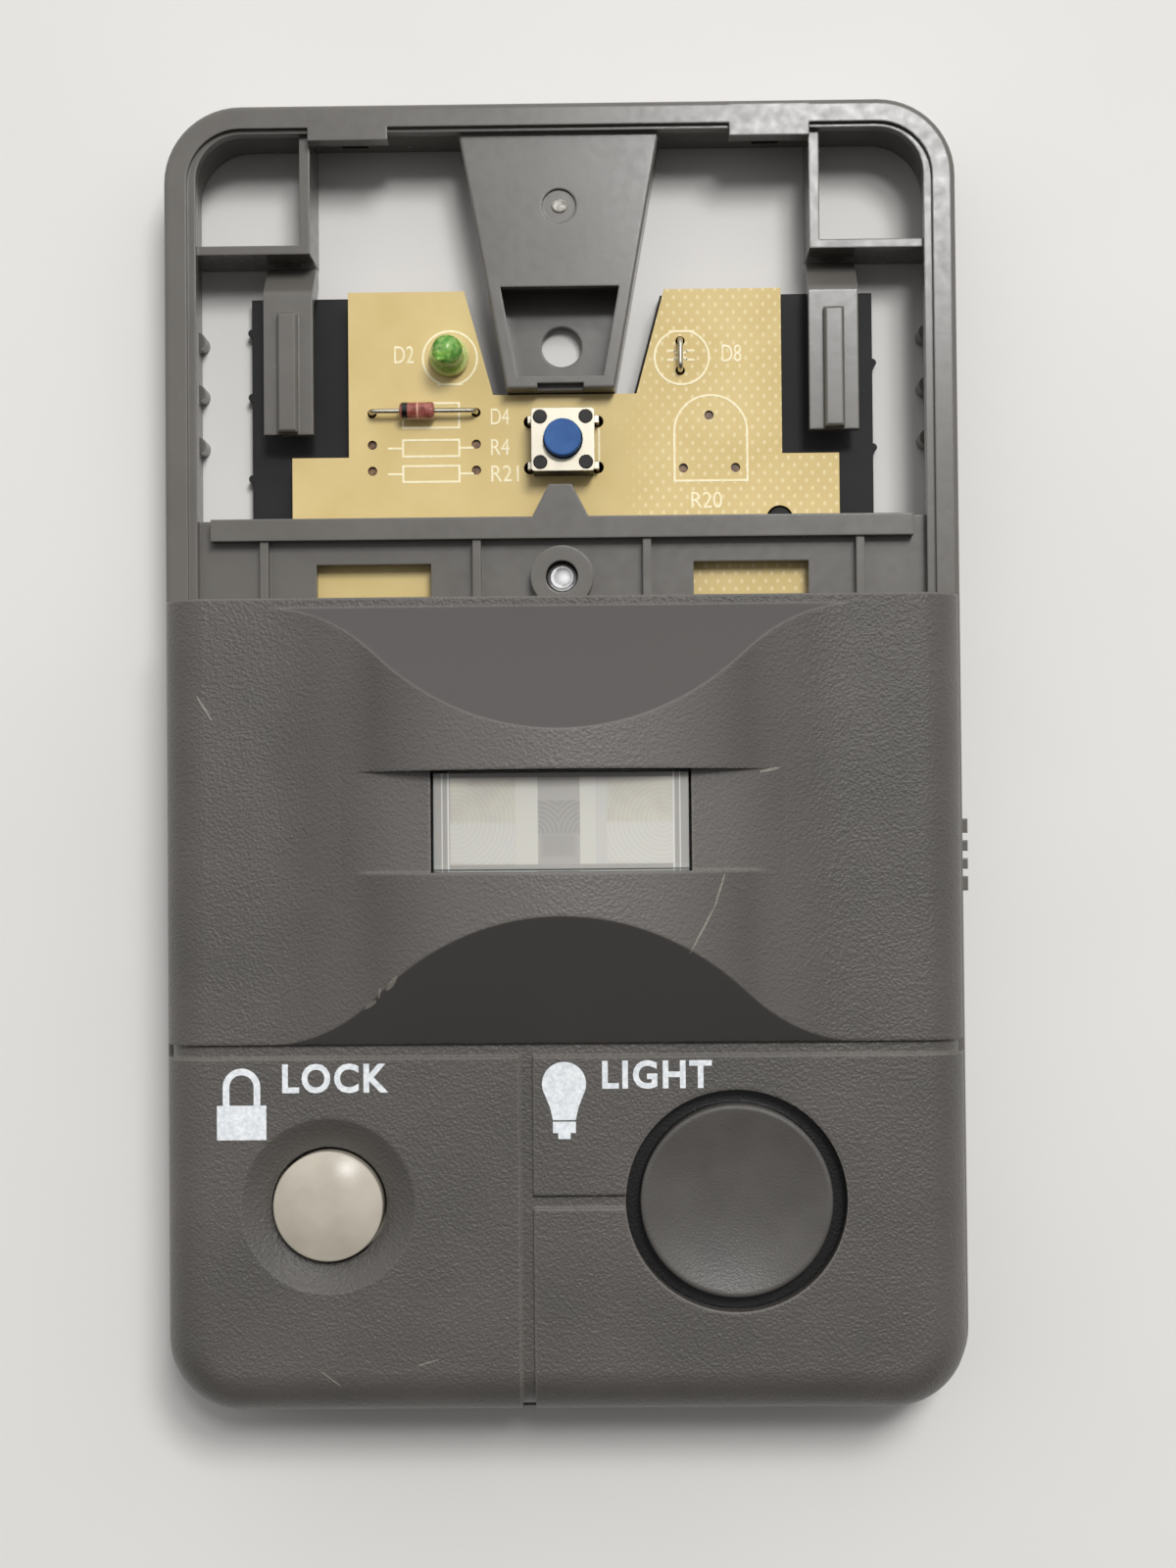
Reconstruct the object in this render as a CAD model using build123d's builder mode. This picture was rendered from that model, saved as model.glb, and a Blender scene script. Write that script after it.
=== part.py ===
from build123d import *
from math import asin, atan2, cos, sin, sqrt
import os

# Wall control panel of a garage door opener, lying on its back, with its push bar taken off.
# z = 0 is the wall plane and +Z points out of the front. +Y points to the end with the wall tab,
# and +X is the right-hand side of somebody who stands before the panel. All sizes in millimetres.

os.makedirs("parts", exist_ok=True)

# ---- clearances ----
fit_gap = 0.05          # radial, screws and pins in their holes
slide_gap = 0.10        # radial, plungers and actuators in their guides
edge_gap = 0.35         # between separate mouldings that sit side by side

# ---- housing: the tray that hangs on the wall ----
case_width = 76.2
case_length = 125.0
case_corner = 7.4
case_round = 0.5
rim_z = 9.0
wall = 2.2
ledge_width = 0.8       # step inside the rim
ledge_drop = 0.6
ledge_depth = 1.5
floor = 1.4
rib = 1.0
thin_rib = 0.85
rib_z = 7.5
rib_lift = 0.3
lug_x = 20.3            # hook lugs for the push bar, on the top wall
lug_length = 7.7
lug_depth = 0.8
lug_slot = (2.6, 2.6)
lug_slot_z = 2.6
corner_rib_reach = 11.25    # from the side wall in to the ribs that box off the top corners
corner_rib_y = 48.85
nub_radius = 0.8        # half-round stops on the side walls
nub_places = (41.05, 35.9, 30.7)
nub_z = 3.0
half_width = case_width / 2
half_length = case_length / 2
inner_half = half_width - wall
inner_end = half_length - wall
corner_rib_x = inner_half - corner_rib_reach
ledge_z = rim_z - ledge_drop - ledge_depth

# ---- wall tab ----
tab_bottom = 35.1
tab_half_bottom = 5.25
tab_half_top = 9.8
tab_z = 7.5
tab_skin = 1.2
tab_round = 0.25
tab_window = (36.3, 45.0)
tab_floor_top = 47.0
tab_notch = (4.5, 0.55)
wall_screw_y = 40.3
wall_screw_hole = 4.0
gate_mark_drop = 7.45   # moulding mark below the top wall
gate_mark_radius = 1.65
gate_mark_depth = 0.3

# ---- bulkhead across the housing, where the front cover begins ----
flange_top = 22.6
flange_width = 2.1
flange_z = 8.5
flange_end_gap = 2.1
deck_bottom = 8.0
deck_z = 6.8
deck_skin = 1.2
deck_rib = 0.8
deck_rib_drop = 0.4
deck_ribs = (8.2, 28.7)
window_x = (12.7, 23.8)
window_y = (9.5, 18.3)
boss_y = 16.8
boss_width = 6.0
gusset_x = -0.1
gusset_half = (2.7, 1.1)
gusset_length = 3.1

# ---- rear cover: black plate behind the board ----
bar_bay_gap = 5.2       # open strip between the plate and the side wall, in the bay
side_floor = 8.3        # strip of housing floor beside the plate, below the bay
end_floor = 2.1
rear_top = 45.3
rear_step = 21.2
rear_nub = 0.4          # bumps on the plate's side edges: which side, and how high up
rear_nub_places = ((-1, 42.0), (-1, 35.6), (-1, 27.5), (1, 38.4), (1, 30.0))
peg_width = 2.2
peg_hole = 2.6
peg_tip = 0.3
peg_chamfer = 0.2
post_width = 4.4
key_width = 7.4
key_slot = 3.8
key_rise = 5.0
terminal_window = (22.0, 11.0)
rear_half_top = inner_half - bar_bay_gap
rear_half = inner_half - side_floor
rear_bottom = -inner_end + end_floor
key_y = rear_bottom + key_width / 2 + 0.5

# ---- circuit board ----
board_x = 0.35
board_skin = 1.6
board_bottom = 3.2
board_top_end = 45.2
board_step = 29.0
board_margin = 0.9      # inside the rear cover's edge
board_shoulder = 5.55   # how much narrower the board is above its step
board_foot = 11.2       # from the rear cover's lower edge up to the board
notch_half_top = 9.8
notch_half_bottom = 7.0
notch_y = 35.0
lead_hole = 0.9
leg_hole = 1.2
lead_width = 0.5
lead_tail = 0.8         # lead left under the board
wire_bend = 0.6
board_half = rear_half - board_margin
board_half_top = board_half - board_shoulder
board_top = board_bottom + board_skin
board_low = rear_bottom + board_foot
peg_inset_top = 5.5
peg_inset = 2.7
peg_y = -24.0
pegs = (
    (board_half - peg_inset_top, flange_top),
    (peg_inset_top - board_half, flange_top - peg_hole / 2),
    (board_half - peg_inset, peg_y),
    (peg_inset - board_half, peg_y),
)

# ---- front cover ----
cover_inset = 0.55      # the cover stands this far inside the housing's outline
cover_skin = 2.0
cover_rise = 6.2
cover_top = 14.3
cover_corner = 7.0
cover_round = 4.0
hood_rise = 9.3         # hood over the motion sensor
hood_ends = (-27.4, 13.4)
hood_crest = (-15.3, 1.5)
hood_side = 9.75        # flat shoulder beside the hood
hood_root = 4.0         # how far the hood's block runs on below the cover's top
hood_fullness = 0.62    # share of the bell's side taken by its crest arc
channel_y = (-11.4, -2.1)
channel_drop = 2.5
channel_shoulder = 7.2  # from the channel's end out to the hood's foot
channel_fade = 0.03     # depth left where the channel runs out into the hood's foot
channel_edge = 1.0      # thick floor stops this far inside the channel's end
groove = 1.25
groove_depth = 0.5
cross_groove_y = -28.65
side_groove_x = -4.2
cover_half = half_width - cover_inset
cover_bottom = -half_length + cover_inset
cover_z = rim_z + cover_rise
ceiling = cover_z - cover_skin
crest_z = cover_z + hood_rise
hood_half = cover_half - hood_side
bell_radii = (hood_half**2 + hood_rise**2) / (2 * hood_rise)
crest_radius = hood_fullness * bell_radii
foot_radius = bell_radii - crest_radius
channel_z = crest_z - channel_drop
channel_half = hood_half - channel_shoulder
channel_end_z = cover_z + foot_radius - sqrt(foot_radius**2 - channel_shoulder**2) - channel_fade
channel_sag = channel_z - channel_end_z
channel_radius = (channel_half**2 + channel_sag**2) / (2 * channel_sag)

# ---- lens and motion sensor ----
lens_wing = 8.7         # smooth floor of the channel beside the lens
lens_half = channel_half - lens_wing
lens_skin = 1.0
lens_gap = 0.25
lens_sink = 0.2
lens_lip = 1.2
clip_skin = 1.2
clip_reach = 4.0
clip_foot = (2.0, 5.0)
clip_foot_inset = 0.4
sensor_y = -6.75
sensor_radius = 4.15
sensor_flange = 4.6
sensor_lift = 0.4
sensor_height = 4.6
sensor_skin = 0.3
sensor_window = (4.0, 3.0)

# ---- push buttons ----
lock_width = 10.2
lock_bowl = 16.3
lock_seat_skin = 1.6
bowl_depth = 2.0
lock_crown = 0.9
lock_proud = 1.0
light_width = 17.9
light_hole = 20.6
light_proud = 0.2
light_round = 0.3
light_dish = 17.0
dish_depth = 0.95
button_gap = 0.3
button_flange = 0.8
flange_reach = 0.8      # how far a button's flange reaches under its hole's edge
stem_width = 4.6
bowl_rim = 1.2
lock_inset = 4.6        # from the board's corner to the middle of the lock switch
light_inset = (10.8, 4.85)
lock_at = (lock_inset - board_half, board_low + lock_inset)
light_at = (board_half - light_inset[0], board_low + light_inset[1])
button_groove_y = light_at[1] - groove / 2

# ---- tact switches ----
tact_width = 6.1
tact_body_x = 5.8
tact_height = 3.2
tact_plate = 0.3
tact_tall = 5.0
plunger_width = 3.6
plunger_depth = 1.0
plunger_room = 0.4
rivet_at = 2.2
rivet_radius = 0.62
rivet_proud = 0.12
tact_legs = (6.6, 4.5)
leg_size = (0.3, 0.7)
leg_shoulder = 1.2
bar_switch_at = (0.2, 30.05)
plunger_top = board_top + tact_tall

# ---- small parts on the board ----
led_at = (-10.9, 38.7)
led_width = 3.0
led_rim = 3.8
led_rim_z = 1.0
led_height = 5.3
pin_pitch = 2.54
axial_pitch = 10.16
axial_inset = 2.65      # from the board's left edge to the first lead hole
axial_x = axial_inset - board_half_top
diode_y = 33.3
diode_width = 1.7
diode_length = 3.4
diode_lift = 0.5
diode_shift = 4.5       # from the left lead hole to the middle of the diode
diode_x = axial_x + diode_shift
bare_axial_rows = (30.2, 27.65)
trimmer_at = (14.4, 27.65)
trimmer_rise = 5.15
jumper_x = 11.65
jumper_y = (37.2, 40.1)
jumper_lift = 1.2
chip_size = (6.4, 22.8, 3.3)
chip_lift = 0.5
chip_chamfer = 0.4
chip_pins_per_side = 9
chip_row = 7.62
chip_y = -10.0
chip_pin = (0.3, 0.5)
resistor_shift = 5.5    # from the light switch's middle to the left lead holes
resistor_pitch = 3.0
resistor_low = 9.2
resistor_x = light_at[0] - resistor_shift
resistor_rows = [light_at[1] + resistor_low + i * resistor_pitch for i in range(3)]
resistor_width = 2.3
resistor_waist = 1.9
resistor_length = 6.3
capacitor_at = (13.0, 2.5)
capacitor_size = (6.3, 6.5)
capacitor_pitch = 2.5
disc_cap_x = (-8.0, -4.0)
disc_cap_rise = (16.0, 11.0)
disc_caps = [(x, board_low + rise) for x, rise in zip(disc_cap_x, disc_cap_rise)]
disc_cap_width = 5.0
disc_cap_skin = 1.8
disc_cap_lift = 1.0
disc_cap_round = 0.4

# ---- mode switch and its slider on the right side ----
slide_body = (5.2, 11.0, 3.6)
slide_body_x = board_half + board_x - slide_body[0] / 2 - 0.25
slider_y = -10.25
slider_length = 6.9
slider_travel = 3.0
slider_lift = 1.2
slider_height = 3.4
slider_proud = 0.6
slider_ridges = 4
ridge_gap = 0.7
slider_plate = 1.0
plate_overlap = 1.0
slider_overlap = 0.8
actuator_width = 1.6
actuator_reach = 3.6
actuator_depth = 2.6
socket_wall = 1.0
socket_depth = 2.4
slider_z = board_top + slider_lift
slider_mid = slider_y - slider_travel / 2
slider_slot = slider_length + slider_travel + 2 * edge_gap

# ---- terminals and screws ----
terminal_x = 6.35
terminal_y = -20.0
terminal_bush = 5.0
terminal_collar = 0.8
terminal_bush_height = 4.6
terminal_plate = 7.0
terminal_plate_skin = 0.6
terminal_screw = 3.0
terminal_head = 5.6
bush_reach = terminal_bush / 2 + terminal_collar
chip_at = (-terminal_x - bush_reach - pin_pitch - chip_row / 2, chip_y)
screw_width = 3.0
screw_head = 5.0
screw_head_height = 1.5
screw_pad = 7.0
recess_size = (2.6, 0.6)
recess_depth = 0.9
head_round = 0.5
screw_point = 0.6
screw_tip_gap = 1.4      # from a screw's tip to the outside above it
cover_boss = 5.6
screw_pad_z = board_bottom
case_screw_rise = 7.2
rear_screw_rise = 3.8
screw_pad_inset = (0.8, 0.2)
case_screw_low = rear_bottom + case_screw_rise
case_screw_high = 4.0
case_screw_x = inner_half - screw_pad / 2 - screw_pad_inset[0]
case_screws = [(side * case_screw_x, y) for side in (-1, 1) for y in (case_screw_low, case_screw_high)]
rear_screw_x = rear_half - screw_pad / 2 - screw_pad_inset[1]
rear_screws = [(side * rear_screw_x, rear_bottom + rear_screw_rise) for side in (-1, 1)]

# ---- spring arms of the push bar ----
arm_offset = 1.85        # from the corner rib out to the arm
arm_width = 4.8
arm_root_radius = 1.25
arm_root_z = 2.4
arm_root_gap = 0.325
arm_skin = 1.3
arm_z = 6.2
arm_rise = 2.45          # from the root to the bend, along the housing
arm_length = 13.3        # straight tongue below the bend
pad_width = 1.9
pad_inset = (0.15, 1.55)
pad_height = 1.1
pad_chamfer = 0.2
arm_bend_radius = 1.0
arm_x = corner_rib_x + arm_offset
arm_root = (corner_rib_y - thin_rib / 2 - arm_root_gap - arm_root_radius, arm_root_z)
arm_bend = arm_root[0] - arm_rise
arm_end = arm_bend - arm_length
pad_ends = (arm_end + pad_inset[0], arm_bend - pad_inset[1])



def finish(part, name):
    """Label a finished piece and write its STEP file."""
    part.part.label = name
    export_step(part.part, f"parts/{name}.step")


def tab_half(y, inset=0.0):
    """Half width of the tapering wall tab at a height y."""
    slope = (tab_half_top - tab_half_bottom) / (inner_end - tab_bottom)
    return tab_half_bottom + (y - tab_bottom) * slope - inset


def taper(low, high, half_low, half_high):
    """Upright trapezoid, symmetric about x = 0."""
    Polygon((-half_low, low), (half_low, low), (half_high, high), (-half_high, high), align=None)


# ================= housing =================
def tab_shell():
    """Hollow wall tab: top skin with a window, side walls, and a floor round the screw hole."""
    with BuildPart() as tab:
        with BuildSketch():
            taper(tab_bottom, inner_end + wall / 2, tab_half_bottom, tab_half(inner_end + wall / 2))
        extrude(amount=tab_z)
        fillet(tab.faces().sort_by(Axis.Z)[-1].edges(), tab_round)
        low = tab_bottom + tab_skin
        high = tab_floor_top - rib
        with BuildSketch(Plane.XY.offset(floor)):
            taper(low, high, tab_half(low, tab_skin), tab_half(high, tab_skin))
        extrude(amount=tab_z - tab_skin - floor, mode=Mode.SUBTRACT)
        with BuildSketch():
            taper(tab_floor_top, inner_end, tab_half(tab_floor_top, rib), tab_half(inner_end, rib))
        extrude(amount=tab_z - tab_skin, mode=Mode.SUBTRACT)
        with BuildSketch(Plane.XY.offset(tab_z - 2 * tab_skin)):
            taper(*tab_window, *(tab_half(y, tab_skin) - 0.1 for y in tab_window))
        extrude(amount=3 * tab_skin, mode=Mode.SUBTRACT)
        with Locations((0, wall_screw_y)):
            Hole(wall_screw_hole / 2, depth=2 * tab_z)
        with BuildSketch(Plane.XY.offset(tab_z)):
            with Locations((0, tab_bottom)):
                Rectangle(tab_notch[0], 2 * tab_notch[1])
        extrude(amount=-tab_skin, mode=Mode.SUBTRACT)
        with BuildSketch(Plane.XY.offset(tab_z)):
            with Locations((0, inner_end - gate_mark_drop)):
                Circle(gate_mark_radius)
        extrude(amount=-gate_mark_depth, mode=Mode.SUBTRACT)
    return tab.part


with BuildPart() as housing:
    with BuildSketch():
        RectangleRounded(case_width, case_length, case_corner)
    extrude(amount=rim_z)
    fillet(housing.faces().sort_by(Axis.Z)[-1].edges(), case_round)
    chamfer(housing.faces().sort_by(Axis.Z)[0].edges(), case_round)
    with BuildSketch(Plane.XY.offset(floor)):
        RectangleRounded(2 * inner_half, 2 * inner_end, case_corner - wall)
    extrude(amount=rim_z, mode=Mode.SUBTRACT)
    # Back openings: the bay of the push bar, and the seat of the rear cover below it.
    with BuildSketch():
        RectangleRounded(2 * inner_half, 2 * inner_end, case_corner - wall)
        with Locations((0, flange_top - flange_width - case_length)):
            Rectangle(case_width, 2 * case_length, mode=Mode.SUBTRACT)
        low = rear_bottom - edge_gap
        with Locations((0, (low + rear_step) / 2)):
            Rectangle(2 * (rear_half + edge_gap), rear_step - low)
    extrude(amount=floor, mode=Mode.SUBTRACT)
    # Step inside the rim.
    with BuildSketch(Plane.XY.offset(ledge_z)):
        RectangleRounded(2 * inner_half, 2 * inner_end, case_corner - wall)
        RectangleRounded(
            2 * (inner_half - ledge_width),
            2 * (inner_end - ledge_width / 2),
            case_corner - wall - ledge_width,
            mode=Mode.SUBTRACT,
        )
    extrude(amount=ledge_depth)
    # Hook lugs on the top wall, and the slots under them.
    with BuildSketch(Plane.XY.offset(ledge_z)):
        with Locations(*((side * lug_x, inner_end - lug_depth + wall / 2) for side in (-1, 1))):
            Rectangle(lug_length, 2 * lug_depth + ledge_width / 2 + wall / 2)
    extrude(amount=rim_z - ledge_z)
    with BuildSketch(Plane.XZ.offset(-inner_end + wall / 2)):
        with Locations(*((side * lug_x, lug_slot_z) for side in (-1, 1))):
            Rectangle(*lug_slot)
    extrude(amount=-wall / 2 - 0.6, mode=Mode.SUBTRACT)
    # Ribs that box off the top corners.
    with BuildSketch(Plane.XY.offset(rib_lift)):
        rib_end = inner_end + wall / 2
        with Locations(*((side * corner_rib_x, (corner_rib_y + rib_end) / 2) for side in (-1, 1))):
            Rectangle(rib, rib_end - corner_rib_y + thin_rib)
        rib_out = inner_half + wall / 2
        with Locations(*((side * (corner_rib_x + rib_out) / 2, corner_rib_y) for side in (-1, 1))):
            Rectangle(rib_out - corner_rib_x, thin_rib)
    extrude(amount=rib_z - rib_lift)
    # Half-round stops down both side walls.
    with BuildSketch():
        for side in (-1, 1):
            with Locations(*((side * inner_half, y) for y in nub_places)):
                Circle(nub_radius)
    extrude(amount=nub_z)
    add(tab_shell())
    # Bulkhead: flange, deck with two windows, ribs, screw boss and gusset.
    with BuildSketch(Plane.XY.offset(deck_z - deck_skin)):
        with Locations((0, (deck_bottom + flange_top) / 2)):
            Rectangle(2 * inner_half + wall, flange_top - deck_bottom)
        for side in (-1, 1):
            with Locations((side * sum(window_x) / 2, sum(window_y) / 2)):
                Rectangle(window_x[1] - window_x[0], window_y[1] - window_y[0], mode=Mode.SUBTRACT)
    extrude(amount=deck_skin)
    with BuildSketch(Plane.XY.offset(board_top + edge_gap)):
        with Locations((0, flange_top - flange_width / 2)):
            Rectangle(2 * (inner_half - flange_end_gap), flange_width)
        with Locations((gusset_x, flange_top)):
            taper(0, gusset_length, *gusset_half)
    extrude(amount=flange_z - board_top - edge_gap)
    with BuildSketch(Plane.XY.offset(deck_z)):
        for side in (-1, 1):
            with Locations(*((side * x, (cover_top + flange_top) / 2) for x in deck_ribs)):
                Rectangle(deck_rib, flange_top - cover_top - 2 * edge_gap)
    extrude(amount=flange_z - deck_z - deck_rib_drop)
    with BuildSketch(Plane.XY.offset(screw_pad_z)):
        with Locations((0, boss_y)):
            Circle(boss_width / 2)
    extrude(amount=flange_z - screw_pad_z)
    with Locations((0, boss_y)):
        Hole(screw_width / 2 + fit_gap)
    # Pads for the screws that hold the front cover, with sunk seats for their heads.
    with BuildSketch():
        with Locations(*case_screws):
            Circle(screw_pad / 2)
    extrude(amount=screw_pad_z)
    with BuildSketch():
        with Locations(*case_screws):
            Circle(screw_head / 2 + 2 * fit_gap)
    extrude(amount=screw_head_height + 2 * fit_gap, mode=Mode.SUBTRACT)
    with Locations(*case_screws):
        Hole(screw_width / 2 + fit_gap, depth=2 * rim_z)
    # Slot of the mode slider in the right-hand wall.
    with BuildSketch(Plane.YZ.offset(inner_half - ledge_width - edge_gap)):
        with Locations((slider_mid, slider_z)):
            Rectangle(slider_slot, slider_height + 2 * edge_gap)
    extrude(amount=2 * wall, mode=Mode.SUBTRACT)
finish(housing, "housing")


# ================= spring arms of the push bar =================
def spring_arm(side):
    """Flexing arm: a rounded root under the corner rib, a rising bend and a straight tongue."""
    root_y, root_z = arm_root
    rise = atan2(arm_z - arm_skin - root_z + arm_root_radius, root_y - arm_bend)
    with BuildPart() as arm:
        with BuildSketch(Plane.YZ.offset(side * arm_x - arm_width / 2)):
            with Locations(arm_root):
                Circle(arm_root_radius)
            Polygon(
                (root_y + arm_root_radius * sin(rise), root_z + arm_root_radius * cos(rise)),
                (arm_bend + arm_skin / 2, arm_z),
                (arm_end, arm_z),
                (arm_end, arm_z - arm_skin),
                (arm_bend - arm_skin / 3, arm_z - arm_skin),
                (root_y - arm_root_radius * sin(rise), root_z - arm_root_radius * cos(rise)),
                align=None,
            )
        extrude(amount=arm_width)
        near_bend = (arm_bend - arm_skin, arm_bend + arm_skin)
        bends = arm.edges().filter_by(Axis.X).filter_by_position(Axis.Y, *near_bend)
        fillet(bends, arm_bend_radius)
        with BuildSketch(Plane.XY.offset(arm_z)):
            with Locations((side * arm_x, sum(pad_ends) / 2)):
                Rectangle(pad_width, pad_ends[1] - pad_ends[0])
        extrude(amount=pad_height)
        chamfer(arm.faces().sort_by(Axis.Z)[-1].edges(), pad_chamfer)
    return arm


left_spring_arm = spring_arm(-1)
finish(left_spring_arm, "left_spring_arm")
right_spring_arm = spring_arm(1)
finish(right_spring_arm, "right_spring_arm")


# ================= rear cover =================
def notched_outline(half_top, half, ends, step):
    """Plate outline with one width above the step, another below it, and a notch for the wall tab."""
    with Locations((0, (step + ends[1]) / 2)):
        Rectangle(2 * half_top, ends[1] - step)
    with Locations((0, (ends[0] + step) / 2)):
        Rectangle(2 * half, step - ends[0])
    low, high = notch_y, ends[1] + 0.1
    side_low, side_high = notch_half_bottom, notch_half_top
    Polygon(
        (-side_low, low), (side_low, low), (side_high, high), (-side_high, high),
        align=None, mode=Mode.SUBTRACT,
    )


with BuildPart() as rear_cover:
    with BuildSketch():
        notched_outline(rear_half_top, rear_half, (rear_bottom, rear_top), rear_step)
        with Locations(*((side * rear_half_top, y) for side, y in rear_nub_places)):
            Circle(rear_nub)
        with Locations((0, terminal_y)):
            Rectangle(*terminal_window, mode=Mode.SUBTRACT)
        with Locations((0, key_y)):
            Circle(key_width / 2, mode=Mode.SUBTRACT)
        with Locations((0, key_y + key_rise / 2)):
            Rectangle(key_slot, key_rise, mode=Mode.SUBTRACT)
        with Locations((0, key_y + key_rise)):
            Circle(key_slot / 2, mode=Mode.SUBTRACT)
    extrude(amount=floor)
    with BuildSketch(Plane.XY.offset(floor)):
        with Locations(*pegs):
            Circle(post_width / 2)
    extrude(amount=board_bottom - floor)
    with BuildSketch(Plane.XY.offset(board_bottom)):
        with Locations(*pegs):
            Circle(peg_width / 2)
    extrude(amount=board_skin + peg_tip)
    chamfer(rear_cover.faces().group_by(Axis.Z)[-1].edges(), peg_chamfer)
    # Pads for the screws, with sunk seats for the heads.
    pad_places = ((0, boss_y), *rear_screws)
    with BuildSketch(Plane.XY.offset(floor)):
        with Locations(*pad_places):
            Circle(screw_pad / 2)
    extrude(amount=screw_pad_z - floor)
    with BuildSketch():
        with Locations(*pad_places):
            Circle(screw_head / 2 + 2 * fit_gap)
    extrude(amount=screw_head_height + 2 * fit_gap, mode=Mode.SUBTRACT)
    with Locations(*pad_places):
        Hole(screw_width / 2 + fit_gap, depth=2 * rim_z)
finish(rear_cover, "rear_cover")


# ================= circuit board =================
def switch_leg_places(at):
    """Centres of a tact switch's four legs."""
    x, y = at
    half_x = tact_legs[0] / 2
    half_y = tact_legs[1] / 2
    return [(x + i * half_x, y + j * half_y) for i in (-1, 1) for j in (-1, 1)]


def axial_places(x, y):
    """Two lead holes of a part that lies flat along X."""
    return [(x, y), (x + axial_pitch, y)]


chip_pin_places = [
    (chip_at[0] + side * chip_row / 2, chip_at[1] + (i - (chip_pins_per_side - 1) / 2) * pin_pitch)
    for side in (-1, 1)
    for i in range(chip_pins_per_side)
]
led_pins = [(led_at[0] + side * pin_pitch / 2, led_at[1]) for side in (-1, 1)]
sensor_pins = [(0, sensor_y - pin_pitch), (-pin_pitch, sensor_y), (pin_pitch, sensor_y)]
slide_pins = [(slide_body_x - 1, slider_mid + i * pin_pitch) for i in (-1, 0, 1)]
capacitor_pins = [(capacitor_at[0] + side * capacitor_pitch / 2, capacitor_at[1]) for side in (-1, 1)]
disc_cap_pins = [(x + side * pin_pitch, y) for x, y in disc_caps for side in (-1, 1)]
jumper_holes = [(jumper_x, y) for y in jumper_y]
trimmer_holes = [
    (trimmer_at[0] - pin_pitch, trimmer_at[1]),
    (trimmer_at[0] + pin_pitch, trimmer_at[1]),
    (trimmer_at[0], trimmer_at[1] + trimmer_rise),
]
axial_holes = axial_places(axial_x, diode_y)
for row in bare_axial_rows:
    axial_holes += axial_places(axial_x, row)
for row in resistor_rows:
    axial_holes += axial_places(resistor_x, row)
switch_holes = switch_leg_places(bar_switch_at) + switch_leg_places(lock_at) + switch_leg_places(light_at)
lead_places = (
    axial_holes + jumper_holes + trimmer_holes + led_pins + sensor_pins
    + slide_pins + capacitor_pins + disc_cap_pins + chip_pin_places
)

with BuildPart() as circuit_board:
    with BuildSketch(Plane.XY.offset(board_bottom)):
        with Locations((board_x, 0)):
            notched_outline(board_half_top, board_half, (board_low, board_top_end), board_step)
        with Locations(*lead_places):
            Circle(lead_hole / 2, mode=Mode.SUBTRACT)
        with Locations(*switch_holes):
            Circle(leg_hole / 2, mode=Mode.SUBTRACT)
        with Locations(*pegs):
            Circle(peg_hole / 2, mode=Mode.SUBTRACT)
        with Locations((0, boss_y)):
            Circle(boss_width / 2 + edge_gap, mode=Mode.SUBTRACT)
        with Locations(*((side * terminal_x, terminal_y) for side in (-1, 1))):
            Circle(terminal_bush / 2 + fit_gap, mode=Mode.SUBTRACT)
    extrude(amount=board_skin)
finish(circuit_board, "circuit_board")


# ================= front cover =================
def cover_block(inset, low):
    """Rounded block of the front cover, drawn in by a skin thickness, from low upwards."""
    top = cover_top - inset
    bottom = cover_bottom + inset
    with BuildPart() as block:
        with BuildSketch(Plane.XY.offset(low)) as outline:
            with Locations((0, (top + bottom) / 2)):
                Rectangle(2 * (cover_half - inset), top - bottom)
            fillet(outline.vertices().group_by(Axis.Y)[0], cover_corner - inset)
        extrude(amount=cover_z - inset - low)
        rim_edges = block.faces().sort_by(Axis.Z)[-1].edges().sort_by(Axis.Y)[:-1]
        fillet(rim_edges, cover_round - inset)
    return block.part


def hood(inset):
    """Bell-section hood over the sensor, cut to a slope at both ends."""
    slope = [(crest_z - cover_z) / abs(hood_ends[i] - hood_crest[i]) for i in (0, 1)]
    shift = [inset * (sqrt(1 + s * s) - 1) / s for s in slope]
    crest = crest_radius - inset
    joint_angle = asin(hood_half / (crest_radius + foot_radius))
    joint_x = crest * sin(joint_angle)
    joint_z = crest_z - crest_radius + crest * cos(joint_angle)
    base = cover_z - inset
    low_y = hood_ends[0] - case_width / 4
    high_y = hood_ends[1] + case_width / 4
    with BuildPart() as bell:
        with BuildSketch(Plane.XZ.offset(-high_y)):
            with BuildLine():
                ThreePointArc((-joint_x, joint_z), (0, crest_z - inset), (joint_x, joint_z))
                right = (cos(joint_angle), -sin(joint_angle))
                TangentArc((joint_x, joint_z), (hood_half, base), tangent=right)
                low = base - hood_root
                Polyline((hood_half, base), (hood_half, low), (-hood_half, low), (-hood_half, base))
                left = (-cos(joint_angle), -sin(joint_angle))
                TangentArc((-joint_x, joint_z), (-hood_half, base), tangent=left)
            make_face()
        extrude(amount=high_y - low_y)
        with BuildSketch(Plane.YZ):
            Polygon(
                (hood_ends[0] + shift[0], base - hood_root),
                (hood_ends[0] + shift[0], base),
                (hood_crest[0] + shift[0], crest_z - inset),
                (hood_crest[0] + shift[0], crest_z + hood_root),
                (hood_crest[1] - shift[1], crest_z + hood_root),
                (hood_crest[1] - shift[1], crest_z - inset),
                (hood_ends[1] - shift[1], base),
                (hood_ends[1] - shift[1], base - hood_root),
                align=None,
            )
        extrude(amount=case_width, both=True, mode=Mode.INTERSECT)
    return bell.part


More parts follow.
